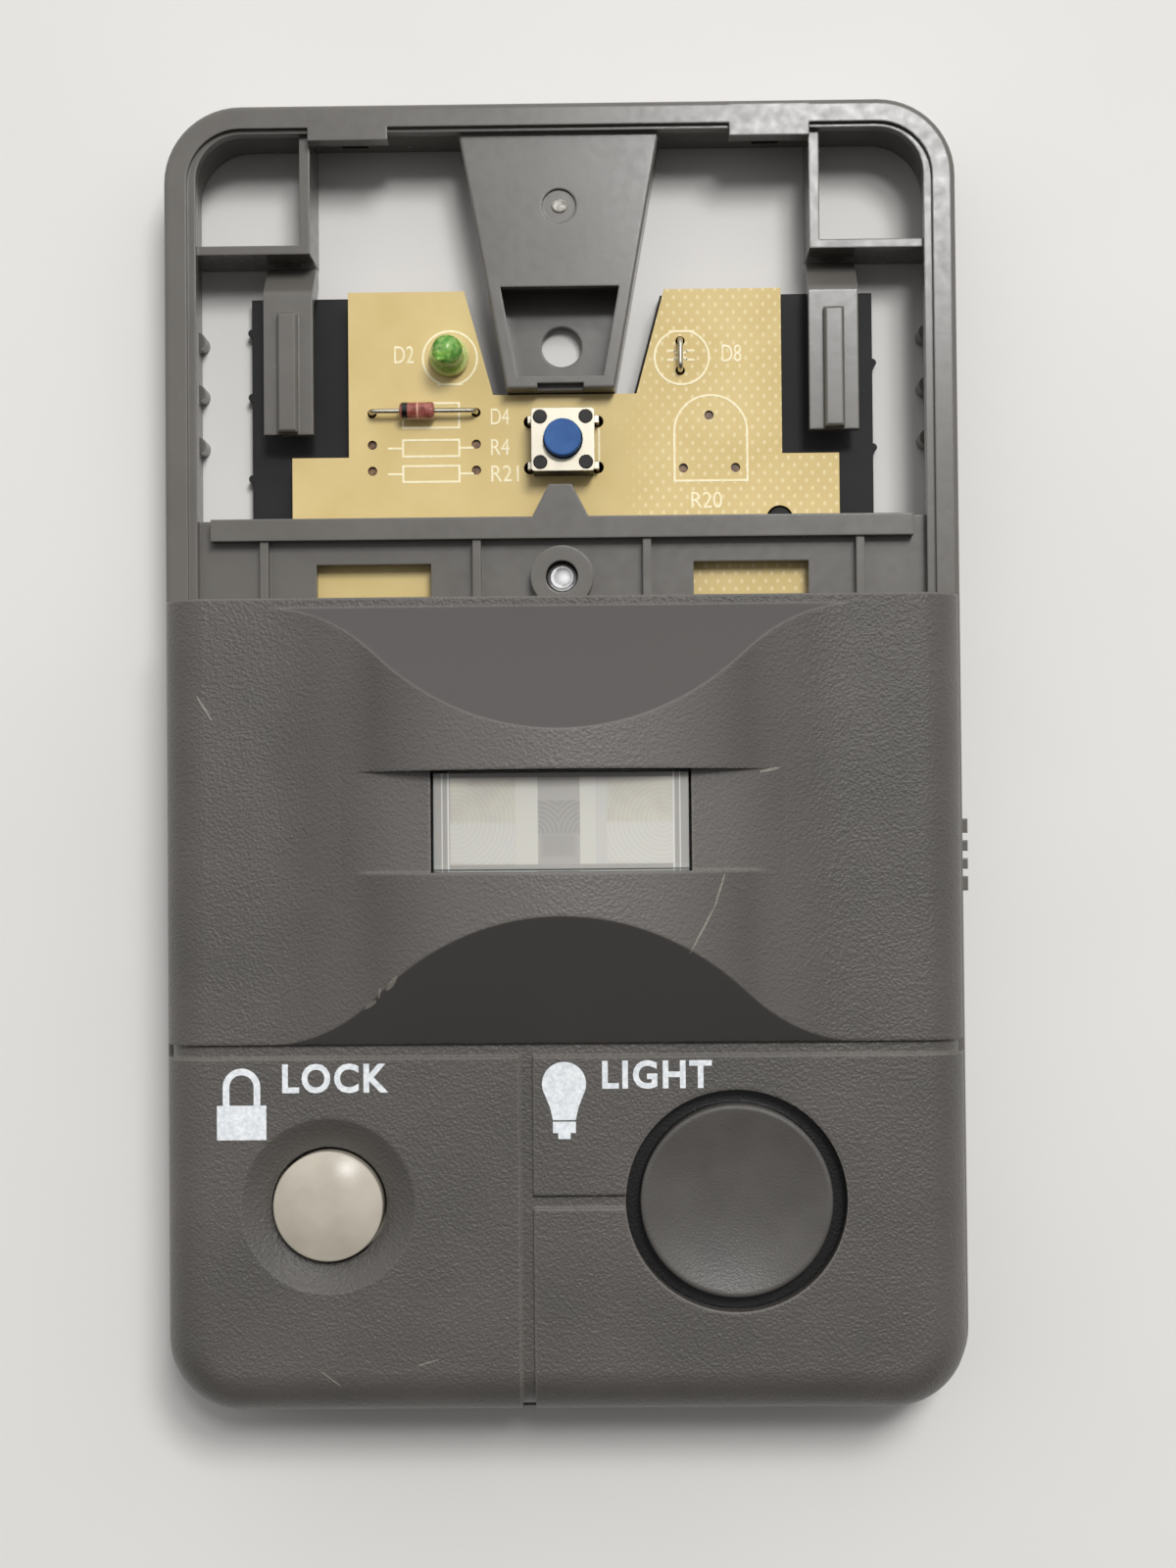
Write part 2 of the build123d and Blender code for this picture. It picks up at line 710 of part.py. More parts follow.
def bent_plate(top_z, skin, half, ends):
    """Strip between two arcs about the channel's own centre, straight along Y."""
    centre_z = channel_z - channel_radius
    outer = top_z - centre_z
    inner = outer - skin
    outer_edge = sqrt(outer**2 - half**2)
    inner_edge = sqrt(inner**2 - half**2)
    with BuildPart() as plate:
        with BuildSketch(Plane.XZ.offset(-ends[1])):
            with BuildLine():
                ThreePointArc(
                    (-half, centre_z + outer_edge), (0, top_z), (half, centre_z + outer_edge)
                )
                Line((half, centre_z + outer_edge), (half, centre_z + inner_edge))
                ThreePointArc(
                    (half, centre_z + inner_edge), (0, top_z - skin), (-half, centre_z + inner_edge)
                )
                Line((-half, centre_z + inner_edge), (-half, centre_z + outer_edge))
            make_face()
        extrude(amount=ends[1] - ends[0])
    return plate.part


def groove_cutter():
    """The grooves' paths, less what lies deeper than they go."""
    with BuildPart() as cutter:
        with BuildSketch(Plane.XY.offset(rim_z - 1)):
            with Locations((0, cross_groove_y + groove / 2)):
                Rectangle(case_width, groove)
            with Locations((side_groove_x + groove / 2, (cross_groove_y - half_length) / 2)):
                Rectangle(groove, half_length + cross_groove_y)
            start = side_groove_x + groove / 2
            with Locations(((start + light_at[0]) / 2, button_groove_y + groove / 2)):
                Rectangle(light_at[0] - start, groove)
        extrude(amount=cover_z - rim_z + 2)
        add(cover_block(groove_depth, rim_z - 2), mode=Mode.SUBTRACT)
    return cutter.part


channel_lip = (channel_y[0] - 2 * lens_lip, channel_y[1] + 2 * lens_lip)
bowl_radius = (lock_bowl**2 / 4 + bowl_depth**2) / (2 * bowl_depth)
bowl_centre = cover_z + bowl_radius - bowl_depth
lock_seat_z = cover_z - bowl_depth - lock_seat_skin
past = 4 * cover_skin   # how far a cutter runs on past the surface that it cuts

with BuildPart() as front_cover:
    add(cover_block(0, rim_z))
    add(hood(0))
    add(cover_block(cover_skin, rim_z - 1), mode=Mode.SUBTRACT)
    add(hood(cover_skin), mode=Mode.SUBTRACT)
    # The end wall reaches down to the housing's deck.
    with BuildSketch(Plane.XY.offset(deck_z)):
        with Locations((0, cover_top - cover_skin / 2)):
            Rectangle(2 * (inner_half - ledge_width - edge_gap), cover_skin)
    extrude(amount=rim_z - deck_z + 1)
    with Locations((0, boss_y, flange_z + edge_gap - rim_z / 2)):
        Cylinder(boss_width / 2 + edge_gap, rim_z, mode=Mode.SUBTRACT)
    # Channel across the hood, with a thick floor for the lens to sit in.
    add(bent_plate(channel_z + past, past, channel_half, channel_y), mode=Mode.SUBTRACT)
    add(bent_plate(channel_z, cover_skin, channel_half - channel_edge, channel_lip))
    add(bent_plate(channel_z + past, past, channel_half, channel_y), mode=Mode.SUBTRACT)
    add(bent_plate(channel_z + cover_skin, 3 * cover_skin, lens_half, channel_y), mode=Mode.SUBTRACT)
    # Grooves in the lower panel.
    add(groove_cutter(), mode=Mode.SUBTRACT)
    # Bowl round the lock button.
    with BuildSketch(Plane.XY.offset(lock_seat_z)):
        with Locations(lock_at):
            Circle(lock_bowl / 2 + bowl_rim)
    extrude(amount=ceiling - lock_seat_z)
    with Locations((*lock_at, bowl_centre)):
        Sphere(bowl_radius, mode=Mode.SUBTRACT)
    with Locations((*lock_at, 0)):
        Cylinder(lock_width / 2 + button_gap, 4 * rim_z, mode=Mode.SUBTRACT)
    with Locations((*light_at, 0)):
        Cylinder(light_hole / 2, 4 * rim_z, mode=Mode.SUBTRACT)
    # Bosses for the screws from behind.
    with BuildSketch(Plane.XY.offset(screw_pad_z)):
        with Locations(*case_screws, *rear_screws):
            Circle(cover_boss / 2)
            Circle(screw_width / 2 + fit_gap, mode=Mode.SUBTRACT)
    extrude(amount=ceiling - screw_pad_z + cover_skin / 5)
finish(front_cover, "front_cover")


# ================= lens and its clip =================
lens_seat = channel_z - cover_skin
lens_y = (channel_y[0] + lens_gap, channel_y[1] - lens_gap)
lip_y = (channel_y[0] - lens_lip, channel_y[1] + lens_lip)

with BuildPart() as fresnel_lens:
    add(bent_plate(channel_z - lens_sink, cover_skin + lens_gap, lens_half - lens_gap, lens_y))
    add(bent_plate(lens_seat - lens_gap, lens_skin, lens_half + lens_lip, lip_y))
    add(
        bent_plate(channel_z - lens_sink - lens_skin, 2 * cover_skin, lens_half - lens_gap - lens_skin,
                   (lens_y[0] + lens_skin, lens_y[1] - lens_skin)),
        mode=Mode.SUBTRACT,
    )
finish(fresnel_lens, "fresnel_lens")

clip_top = lens_seat - lens_gap - lens_skin
clip_half = lens_half + lens_lip + clip_reach
clip_foot_x = clip_half - clip_foot[0] / 2 - clip_foot_inset
with BuildPart() as lens_clip:
    add(bent_plate(clip_top, clip_skin, clip_half, lip_y))
    add(
        bent_plate(channel_z, past, lens_half - lens_skin,
                   (channel_y[0] + lens_skin, channel_y[1] - lens_skin)),
        mode=Mode.SUBTRACT,
    )
    with BuildSketch(Plane.XY.offset(clip_top - clip_reach)):
        with Locations(*((side * clip_foot_x, sum(channel_y) / 2) for side in (-1, 1))):
            Rectangle(*clip_foot)
    extrude(amount=clip_reach)
    add(bent_plate(clip_top + clip_reach, clip_reach, clip_half + clip_foot[0], lip_y), mode=Mode.SUBTRACT)
finish(lens_clip, "lens_clip")


# ================= motion sensor =================
sensor_base = board_top + sensor_lift
with BuildPart() as sensor_header:
    with BuildSketch(Plane.XY.offset(sensor_base)):
        with Locations((0, sensor_y)):
            Circle(sensor_flange)
    extrude(amount=lead_width)
    with BuildSketch(Plane.XY.offset(board_bottom - lead_tail)):
        with Locations(*sensor_pins):
            Circle(lead_width / 2)
    extrude(amount=board_skin + lead_tail + sensor_lift)
finish(sensor_header, "sensor_header")

can_top = sensor_base + sensor_height
with BuildPart() as sensor_can:
    with BuildSketch(Plane.XY.offset(sensor_base + lead_width)):
        with Locations((0, sensor_y)):
            Circle(sensor_radius)
    extrude(amount=sensor_height - lead_width)
    fillet(sensor_can.faces().sort_by(Axis.Z)[-1].edges(), sensor_skin + 0.2)
    with BuildSketch(Plane.XY.offset(sensor_base + lead_width)):
        with Locations((0, sensor_y)):
            Circle(sensor_radius - sensor_skin)
    extrude(amount=sensor_height - lead_width - sensor_skin, mode=Mode.SUBTRACT)
    with BuildSketch(Plane.XY.offset(can_top)):
        with Locations((0, sensor_y)):
            Rectangle(*sensor_window)
    extrude(amount=-2 * sensor_skin, mode=Mode.SUBTRACT)
finish(sensor_can, "sensor_can")

with BuildPart() as sensor_filter:
    with BuildSketch(Plane.XY.offset(can_top - sensor_skin)):
        with Locations((0, sensor_y)):
            Rectangle(sensor_window[0] + 1, sensor_window[1] + 1)
    extrude(amount=-lead_width)
finish(sensor_filter, "sensor_filter")


# ================= push buttons =================
button_stem_z = plunger_top

crown_z = cover_z + lock_proud
crown_radius = (lock_width**2 / 4 + lock_crown**2) / (2 * lock_crown)
dish_radius = (light_dish**2 / 4 + dish_depth**2) / (2 * dish_depth)


def button(at, flange_z, flange, width, top_z):
    """Stem, flange and head of a push button, before its face is shaped."""
    steps = ((button_stem_z, stem_width), (flange_z, flange), (flange_z, width))
    ends = (flange_z, flange_z + button_flange, top_z)
    with BuildPart() as blank:
        for (low, size), high in zip(steps, ends):
            if high > low:
                with Locations((*at, (low + high) / 2)):
                    Cylinder(size / 2, high - low)
    return blank.part


with BuildPart() as lock_button:
    lock_flange_z = lock_seat_z - button_gap - button_flange
    under_width = lock_width + 2 * (button_gap + flange_reach)
    add(button(lock_at, lock_flange_z, under_width, lock_width, crown_z))
    with Locations((*lock_at, crown_z - crown_radius)):
        Sphere(crown_radius, mode=Mode.INTERSECT)
finish(lock_button, "lock_button")

with BuildPart() as light_button:
    light_flange_z = ceiling - button_gap - button_flange
    light_top_z = cover_z + light_proud
    under_width = light_hole + 2 * flange_reach
    add(button(light_at, light_flange_z, under_width, light_width, light_top_z))
    fillet(light_button.faces().sort_by(Axis.Z)[-1].edges(), light_round)
    with Locations((*light_at, light_top_z - dish_depth + dish_radius)):
        Sphere(dish_radius, mode=Mode.SUBTRACT)
finish(light_button, "light_button")


# ================= tact switches =================
def tact_switch(name, at):
    """Body, metal plate, plunger and legs of one tact switch."""
    x, y = at
    deck = board_top + tact_height
    corners = [(x + i * rivet_at, y + j * rivet_at) for i in (-1, 1) for j in (-1, 1)]
    bore = plunger_width / 2 + slide_gap
    with BuildPart() as body:
        with BuildSketch(Plane.XY.offset(board_top)):
            with Locations(at):
                Rectangle(tact_body_x, tact_width)
        extrude(amount=tact_height)
        with BuildSketch(Plane.XY.offset(deck)):
            with Locations(*corners):
                Circle(rivet_radius)
        extrude(amount=tact_plate + rivet_proud)
        with BuildSketch(Plane.XY.offset(deck)):
            with Locations(at):
                Circle(bore)
        extrude(amount=-plunger_depth - plunger_room, mode=Mode.SUBTRACT)
    finish(body, f"{name}_switch_body")

    with BuildPart() as plate:
        with BuildSketch(Plane.XY.offset(deck)):
            with Locations(at):
                RectangleRounded(tact_width, tact_width, 0.35)
                Circle(bore, mode=Mode.SUBTRACT)
            with Locations(*corners):
                Circle(rivet_radius + fit_gap, mode=Mode.SUBTRACT)
        extrude(amount=tact_plate)
    finish(plate, f"{name}_switch_plate")

    with BuildPart() as plunger:
        with BuildSketch(Plane.XY.offset(deck - plunger_depth)):
            with Locations(at):
                Circle(plunger_width / 2)
        extrude(amount=plunger_top - deck + plunger_depth)
        chamfer(plunger.faces().sort_by(Axis.Z)[-1].edges(), rivet_proud)
    finish(plunger, f"{name}_switch_plunger")

    with BuildPart() as legs:
        with BuildSketch(Plane.XY.offset(board_bottom - lead_tail)):
            with Locations(*switch_leg_places(at)):
                Rectangle(*leg_size)
        extrude(amount=board_skin + lead_tail + leg_shoulder)
        inner = tact_body_x / 2
        outer = (tact_legs[0] + leg_size[0]) / 2
        shoulder = (inner + outer) / 2
        with BuildSketch(Plane.XY.offset(board_top + leg_shoulder)):
            with Locations(*((x + i * shoulder, y + j * tact_legs[1] / 2) for i in (-1, 1) for j in (-1, 1))):
                Rectangle(outer - inner, leg_size[1])
        extrude(amount=leg_size[0])
    finish(legs, f"{name}_switch_legs")


tact_switch("bar", bar_switch_at)
tact_switch("lock", lock_at)
tact_switch("light", light_at)


# ================= small parts on the board =================
with BuildPart() as status_led:
    with BuildSketch(Plane.XY.offset(board_top)):
        with Locations(led_at):
            Circle(led_rim / 2)
            with Locations((0, led_rim / 2 + led_width / 2 - 0.1)):
                Rectangle(led_rim, led_width, mode=Mode.SUBTRACT)
    extrude(amount=led_rim_z)
    dome_z = board_top + led_height - led_width / 2
    with BuildSketch(Plane.XY.offset(board_top + led_rim_z)):
        with Locations(led_at):
            Circle(led_width / 2)
    extrude(amount=dome_z - board_top - led_rim_z)
    with Locations((*led_at, dome_z)):
        Sphere(led_width / 2)
finish(status_led, "status_led")

with BuildPart() as led_leads:
    with BuildSketch(Plane.XY.offset(board_bottom - lead_tail)):
        with Locations(*led_pins):
            Rectangle(lead_width, lead_width)
    extrude(amount=board_skin + lead_tail)
finish(led_leads, "led_leads")


def wire(*corners):
    """Round wire bent at right angles with a small radius, along corners in one XZ or YZ plane."""
    with BuildLine() as path:
        FilletPolyline(*corners, radius=wire_bend)
    start = Plane(origin=corners[0], z_dir=(0, 0, 1))
    with BuildSketch(start) as section:
        Circle(lead_width / 2)
    return sweep(section.sketch, path=path.line, mode=Mode.PRIVATE)


def axial_leads(x, y, body_x, body_length, height):
    """Two bent leads from the board's holes to the ends of a part that lies flat."""
    low = board_bottom - lead_tail
    near = body_x - body_length / 2
    far = body_x + body_length / 2
    left = wire((x, y, low), (x, y, height), (near, y, height))
    right = wire((x + axial_pitch, y, low), (x + axial_pitch, y, height), (far, y, height))
    return [left, right]


def axial_body(body_x, y, height, width, length, waist):
    """Barrel that lies along X, with thicker ends than its waist."""
    barrel = Plane(origin=(body_x - length / 2, y, height), x_dir=(0, 1, 0), z_dir=(1, 0, 0))
    with BuildPart() as body:
        with BuildSketch(barrel):
            Circle(waist / 2)
        extrude(amount=length)
        if width > waist:
            with BuildSketch(barrel):
                Circle(width / 2)
            extrude(amount=length / 4)
            with BuildSketch(barrel.offset(length * 3 / 4)):
                Circle(width / 2)
            extrude(amount=length / 4)
        ends = body.edges().group_by(Axis.X)
        fillet(ends[0] + ends[-1], width / 5)
    return body.part


diode_z = board_top + diode_width / 2 + diode_lift
with BuildPart() as diode:
    add(axial_body(diode_x, diode_y, diode_z, diode_width, diode_length, diode_width))
finish(diode, "diode")

with BuildPart() as diode_leads:
    add(axial_leads(axial_x, diode_y, diode_x, diode_length, diode_z))
finish(diode_leads, "diode_leads")

with BuildPart() as wire_jumper:
    low = board_bottom - lead_tail
    high = board_top + jumper_lift
    add(wire(
        (jumper_x, jumper_y[0], low),
        (jumper_x, jumper_y[0], high),
        (jumper_x, jumper_y[1], high),
        (jumper_x, jumper_y[1], low),
    ))
finish(wire_jumper, "wire_jumper")

resistor_mid = resistor_x + axial_pitch / 2
resistor_z = board_top + resistor_width / 2
with BuildPart() as resistors:
    for row in resistor_rows:
        add(axial_body(resistor_mid, row, resistor_z, resistor_width, resistor_length, resistor_waist))
finish(resistors, "resistors")

with BuildPart() as resistor_leads:
    for row in resistor_rows:
        add(axial_leads(resistor_x, row, resistor_mid, resistor_length, resistor_z))
finish(resistor_leads, "resistor_leads")

chip_base = board_top + chip_lift
chip_top = chip_base + chip_size[2]
with BuildPart() as controller_chip:
    with BuildSketch(Plane.XY.offset(chip_base)):
        with Locations(chip_at):
            Rectangle(chip_size[0], chip_size[1])
    extrude(amount=chip_size[2])
    chamfer(controller_chip.faces().sort_by(Axis.Z)[-1].edges(), chip_chamfer)
    with BuildSketch(Plane.XY.offset(chip_top)):
        with Locations((chip_at[0], chip_at[1] + chip_size[1] / 2)):
            Circle(0.9)
    extrude(amount=-0.6, mode=Mode.SUBTRACT)
finish(controller_chip, "controller_chip")

with BuildPart() as chip_pins:
    with BuildSketch(Plane.XY.offset(board_bottom - lead_tail)):
        with Locations(*chip_pin_places):
            Rectangle(*chip_pin)
    extrude(amount=board_skin + lead_tail + chip_lift + chip_size[2] / 2)
    reach = (chip_row - chip_size[0] + chip_pin[0]) / 2
    with BuildSketch(Plane.XY.offset(chip_base + chip_size[2] / 2 - chip_pin[0])):
        for x, y in chip_pin_places:
            side = 1 if x > chip_at[0] else -1
            with Locations((chip_at[0] + side * (chip_size[0] + reach) / 2, y)):
                Rectangle(reach, pin_pitch / 2)
    extrude(amount=chip_pin[0])
finish(chip_pins, "chip_pins")

with BuildPart() as capacitor:
    with BuildSketch(Plane.XY.offset(board_top + 0.2)):
        with Locations(capacitor_at):
            Circle(capacitor_size[0] / 2)
    extrude(amount=capacitor_size[1])
    fillet(capacitor.edges(), 0.5)
    with BuildSketch(Plane.XY.offset(board_bottom - lead_tail)):
        with Locations(*capacitor_pins):
            Circle(lead_width / 2)
    extrude(amount=board_skin + lead_tail + 0.2)
finish(capacitor, "capacitor")

with BuildPart() as disc_capacitors:
    for x, y in disc_caps:
        middle = board_top + disc_cap_lift + disc_cap_width / 2
        with BuildSketch(Plane.XZ.offset(-y - disc_cap_skin / 2)):
            with Locations((x, middle)):
                Circle(disc_cap_width / 2)
        extrude(amount=disc_cap_skin)
        with BuildSketch(Plane.XY.offset(board_bottom - lead_tail)):
            with Locations((x - pin_pitch, y), (x + pin_pitch, y)):
                Circle(lead_width / 2)
        extrude(amount=middle - board_bottom + lead_tail)
    fillet(disc_capacitors.edges().filter_by(GeomType.CIRCLE).filter_by(lambda e: e.radius > disc_cap_skin), disc_cap_round)
finish(disc_capacitors, "disc_capacitors")


# ================= mode switch and its outside slider =================
actuator_z = board_top + slide_body[2] / 2
slot_length = actuator_width + slider_travel + 2 * slide_gap
body_face = slide_body_x + slide_body[0] / 2
actuator_root = body_face - actuator_depth
actuator_tip = body_face + actuator_reach
with BuildPart() as slide_switch_body:
    with BuildSketch(Plane.XY.offset(board_top)):
        with Locations((slide_body_x, slider_mid)):
            Rectangle(slide_body[0], slide_body[1])
    extrude(amount=slide_body[2])
    with BuildSketch(Plane.YZ.offset(body_face)):
        with Locations((slider_mid, actuator_z)):
            Rectangle(slot_length, actuator_width + 2 * slide_gap)
    extrude(amount=-actuator_depth - edge_gap, mode=Mode.SUBTRACT)
    with BuildSketch(Plane.XY.offset(board_bottom - lead_tail)):
        with Locations(*slide_pins):
            Rectangle(lead_width, lead_width)
    extrude(amount=board_skin + lead_tail)
finish(slide_switch_body, "slide_switch_body")

with BuildPart() as slide_actuator:
    with BuildSketch(Plane.YZ.offset(actuator_root)):
        with Locations((slider_y, actuator_z)):
            Rectangle(actuator_width, actuator_width)
    extrude(amount=actuator_tip - actuator_root)
    chamfer(slide_actuator.faces().sort_by(Axis.X)[-1].edges(), 0.2)
finish(slide_actuator, "slide_actuator")

plate_x = inner_half - ledge_width - 2 * edge_gap - slider_plate
knob_face = half_width + slider_proud
with BuildPart() as mode_slider:
    with BuildSketch(Plane.YZ.offset(plate_x + slider_plate / 2)):
        with Locations((slider_y, slider_z)):
            Rectangle(slider_length, slider_height)
    extrude(amount=knob_face - plate_x - slider_plate / 2)
    ridge_pitch = slider_length / slider_ridges
    with BuildSketch(Plane.XY.offset(slider_z - slider_height)):
        for i in range(slider_ridges - 1):
            with Locations((knob_face, slider_y + (i - 1) * ridge_pitch)):
                Rectangle(2 * slider_proud, ridge_gap)
    extrude(amount=2 * slider_height, mode=Mode.SUBTRACT)
    with BuildSketch(Plane.YZ.offset(plate_x)):
        with Locations((slider_y, slider_z)):
            Rectangle(slider_length + 2 * (slider_travel + plate_overlap), slider_height + 2 * slider_overlap)
    extrude(amount=slider_plate)
    with BuildSketch(Plane.YZ.offset(plate_x)):
        with Locations((slider_y, actuator_z)):
            Rectangle(actuator_width + 2 * socket_wall, actuator_width + 2 * socket_wall)
    socket_x = actuator_tip - socket_depth
    extrude(amount=socket_x - plate_x)
    with BuildSketch(Plane.YZ.offset(socket_x)):
        with Locations((slider_y, actuator_z)):
            Rectangle(actuator_width + 2 * fit_gap, actuator_width + 2 * fit_gap)
    extrude(amount=socket_depth + edge_gap, mode=Mode.SUBTRACT)
finish(mode_slider, "mode_slider")


# ================= terminals and screws =================
terminal_places = [(side * terminal_x, terminal_y) for side in (-1, 1)]


def cross_recess(places, z):
    """Cross-shaped driver recess cut upwards into screw heads."""
    with BuildSketch(Plane.XY.offset(z)) as cross:
        with Locations(*places):
            Rectangle(*recess_size)
            Rectangle(*reversed(recess_size))
    extrude(cross.sketch, amount=recess_depth, mode=Mode.SUBTRACT)


with BuildPart() as terminal_bushes:
    with BuildSketch(Plane.XY.offset(board_bottom)):
        with Locations(*terminal_places):
            Circle(terminal_bush / 2)
            Circle(terminal_screw / 2 + fit_gap, mode=Mode.SUBTRACT)
    extrude(amount=terminal_bush_height)
    with BuildSketch(Plane.XY.offset(board_top)):
        with Locations(*terminal_places):
            Circle(terminal_bush / 2 + terminal_collar)
            Circle(terminal_bush / 2, mode=Mode.SUBTRACT)
    extrude(amount=terminal_collar)
finish(terminal_bushes, "terminal_bushes")

with BuildPart() as terminal_plates:
    with BuildSketch(Plane.XY.offset(board_bottom - terminal_plate_skin)):
        with Locations(*terminal_places):
            RectangleRounded(terminal_plate, terminal_plate, 0.6)
            Circle(terminal_screw / 2 + fit_gap, mode=Mode.SUBTRACT)
    extrude(amount=terminal_plate_skin)
finish(terminal_plates, "terminal_plates")

terminal_head_z = board_bottom - terminal_plate_skin
with BuildPart() as terminal_screws:
    with BuildSketch(Plane.XY.offset(terminal_head_z)):
        with Locations(*terminal_places):
            Circle(terminal_head / 2)
    extrude(amount=-screw_head_height)
    fillet(terminal_screws.faces().group_by(Axis.Z)[0].edges(), head_round)
    with BuildSketch(Plane.XY.offset(terminal_head_z)):
        with Locations(*terminal_places):
            Circle(terminal_screw / 2)
    extrude(amount=terminal_bush_height)
    cross_recess(terminal_places, terminal_head_z - screw_head_height)
finish(terminal_screws, "terminal_screws")


def self_tapper(places, seat_z, tip_z, name):
    """Pan-head self-tapping screws driven upwards from the back."""
    with BuildPart() as screws:
        with BuildSketch(Plane.XY.offset(seat_z)):
            with Locations(*places):
                Circle(screw_head / 2)
        extrude(amount=-screw_head_height)
        heads = screws.faces().group_by(Axis.Z)[0]
        fillet(heads.edges(), head_round)
        with BuildSketch(Plane.XY.offset(seat_z)):
            with Locations(*places):
                Circle(screw_width / 2)
        extrude(amount=tip_z - seat_z)
        chamfer(screws.faces().group_by(Axis.Z)[-1].edges(), screw_point)
        cross_recess(places, seat_z - screw_head_height)
    finish(screws, name)


seat_z = screw_head_height + 2 * fit_gap
self_tapper(case_screws, seat_z, ceiling - screw_tip_gap, "case_screws")
self_tapper(rear_screws, seat_z, ceiling - screw_tip_gap, "rear_screws")
self_tapper(((0, boss_y),), seat_z, flange_z - screw_tip_gap, "centre_screw")
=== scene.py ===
# %% [markdown]
# # Wall control panel of a garage door opener
# The panel hangs beside the door. Its wide push bar is off, so the circuit board, the blue
# push switch and the screw tab show at the top. Below them sit a motion-sensor hood and two
# buttons. The solids arrive as a finished frame, and this lesson dresses them: it gives each
# one the finish of its real material, and models what is too fine for the frame.

# %% Load the frame
import bpy
import math
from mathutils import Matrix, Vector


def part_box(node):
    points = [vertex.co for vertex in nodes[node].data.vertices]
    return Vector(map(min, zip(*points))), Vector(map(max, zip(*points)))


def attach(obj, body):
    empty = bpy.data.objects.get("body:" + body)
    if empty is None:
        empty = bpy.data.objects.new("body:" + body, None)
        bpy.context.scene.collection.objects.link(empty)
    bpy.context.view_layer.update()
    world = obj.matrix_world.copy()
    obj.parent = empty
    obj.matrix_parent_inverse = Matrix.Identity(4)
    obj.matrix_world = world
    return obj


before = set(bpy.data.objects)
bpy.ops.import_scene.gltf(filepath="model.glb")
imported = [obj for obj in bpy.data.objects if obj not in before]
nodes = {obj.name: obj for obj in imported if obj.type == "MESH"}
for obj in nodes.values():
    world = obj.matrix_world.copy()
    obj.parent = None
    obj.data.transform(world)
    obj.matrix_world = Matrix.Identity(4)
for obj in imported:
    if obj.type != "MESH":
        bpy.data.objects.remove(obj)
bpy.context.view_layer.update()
MM = 0.001

# %% [markdown]
# ## Camera
# A product shot of a flat thing is taken from straight above. Here the lens stands about
# 250 mm over the back of the panel, close enough that the tall hood looks larger than the rim
# behind it. The camera leans by about a degree, as a hand-held one does.

# %% Camera
bpy.ops.object.camera_add(
    location=(0.00561, -0.00840, 0.24977),
    rotation=tuple(math.radians(a) for a in (1.233, 0.789, -0.504)),
)
camera = bpy.context.object
camera.name = "camera"
camera.data.sensor_width = 36
camera.data.lens = 57.8
camera.data.clip_start = 0.01
bpy.context.scene.camera = camera
print("camera is", round(camera.location.z / MM), "mm up")

# %% [markdown]
# ## Small tools for materials
# A colour is written as the eye reads it off a screen, in sRGB hex, but a shader works in
# linear light, so one function turns the first into the second. A second one adds any node,
# sets its values and links its inputs in one go. A third starts a material with a Principled
# shader, the general one that nearly every real surface can be written in.

# %% Colour and node helpers
def linear(hex_colour):
    """sRGB hex to the linear colour that shaders use."""
    channels = [int(hex_colour[i:i + 2], 16) / 255 for i in (1, 3, 5)]
    bent = [c / 12.92 if c <= 0.04045 else ((c + 0.055) / 1.055) ** 2.4 for c in channels]
    return (*bent, 1.0)


def add_node(material, kind, inputs=None, **settings):
    """Add one shader node, give it its settings, and fill or link its inputs."""
    tree = material.node_tree
    node = tree.nodes.new("ShaderNode" + kind)
    for name, value in settings.items():
        setattr(node, name, value)
    for socket, value in (inputs or {}).items():
        if isinstance(value, bpy.types.NodeSocket):
            tree.links.new(value, node.inputs[socket])
        else:
            node.inputs[socket].default_value = value
    return node


def start_material(name, **values):
    """A new material with a Principled shader; returns it, its shader and its place on the piece."""
    material = bpy.data.materials.new(name)
    material.use_nodes = True
    material.node_tree.nodes.clear()
    inputs = {key.replace("_", " ").title(): value for key, value in values.items()}
    if "Ior" in inputs:
        inputs["IOR"] = inputs.pop("Ior")
    shader = add_node(material, "BsdfPrincipled", inputs)
    add_node(material, "OutputMaterial", {"Surface": shader.outputs[0]})
    place = add_node(material, "TexCoord").outputs["Object"]
    return material, shader, place


def link(material, source, shader, socket):
    material.node_tree.links.new(source, shader.inputs[socket])


def per_mm(size_mm):
    """Texture scale at which one cell of the pattern is size_mm wide."""
    return 1 / (size_mm * MM)


print("white in linear light:", linear("#FFFFFF")[:3])

# %% [markdown]
# ## Light
# Two lamps hang beyond the top of the panel. A small one is nearly overhead, and its mirror
# image makes the highlights. A broad one is lower and draws the shadows; it is kept out of
# reflections, so that flat faces show one highlight and not two. The rest comes
# from the room: pale beyond the top of the panel and at both sides, and fading to dark at its
# foot, so that the hood's flanks catch light and its lower slope has nothing bright to mirror.
# The Light Path node gives the camera, and what is seen through clear resin, an even pale wall
# instead, which carries on from the floor in a low view. Gloss and metal mirror the foot of
# that wall too, just above the floor; higher up they keep the room, which shapes them.

# %% Lamps and world
def lamp(name, direction, distance, size, watts):
    """A rectangular lamp, a given distance from the panel along a direction, and facing it."""
    bpy.ops.object.light_add(type="AREA", location=[part * distance for part in direction])
    light = bpy.context.object
    light.name = name
    light.data.shape = "RECTANGLE"
    light.data.size = size[0]
    light.data.size_y = size[1]
    light.data.energy = watts
    light.rotation_euler = light.location.to_track_quat("Z", "Y").to_euler()
    return light


lamp("overhead_lamp", (0.115, 0.313, 0.943), 1.3, (0.20, 0.14), 3.3)
lamp("shadow_lamp", (0.23, 0.44, 0.868), 1.3, (0.33, 0.27), 8.9).visible_glossy = False

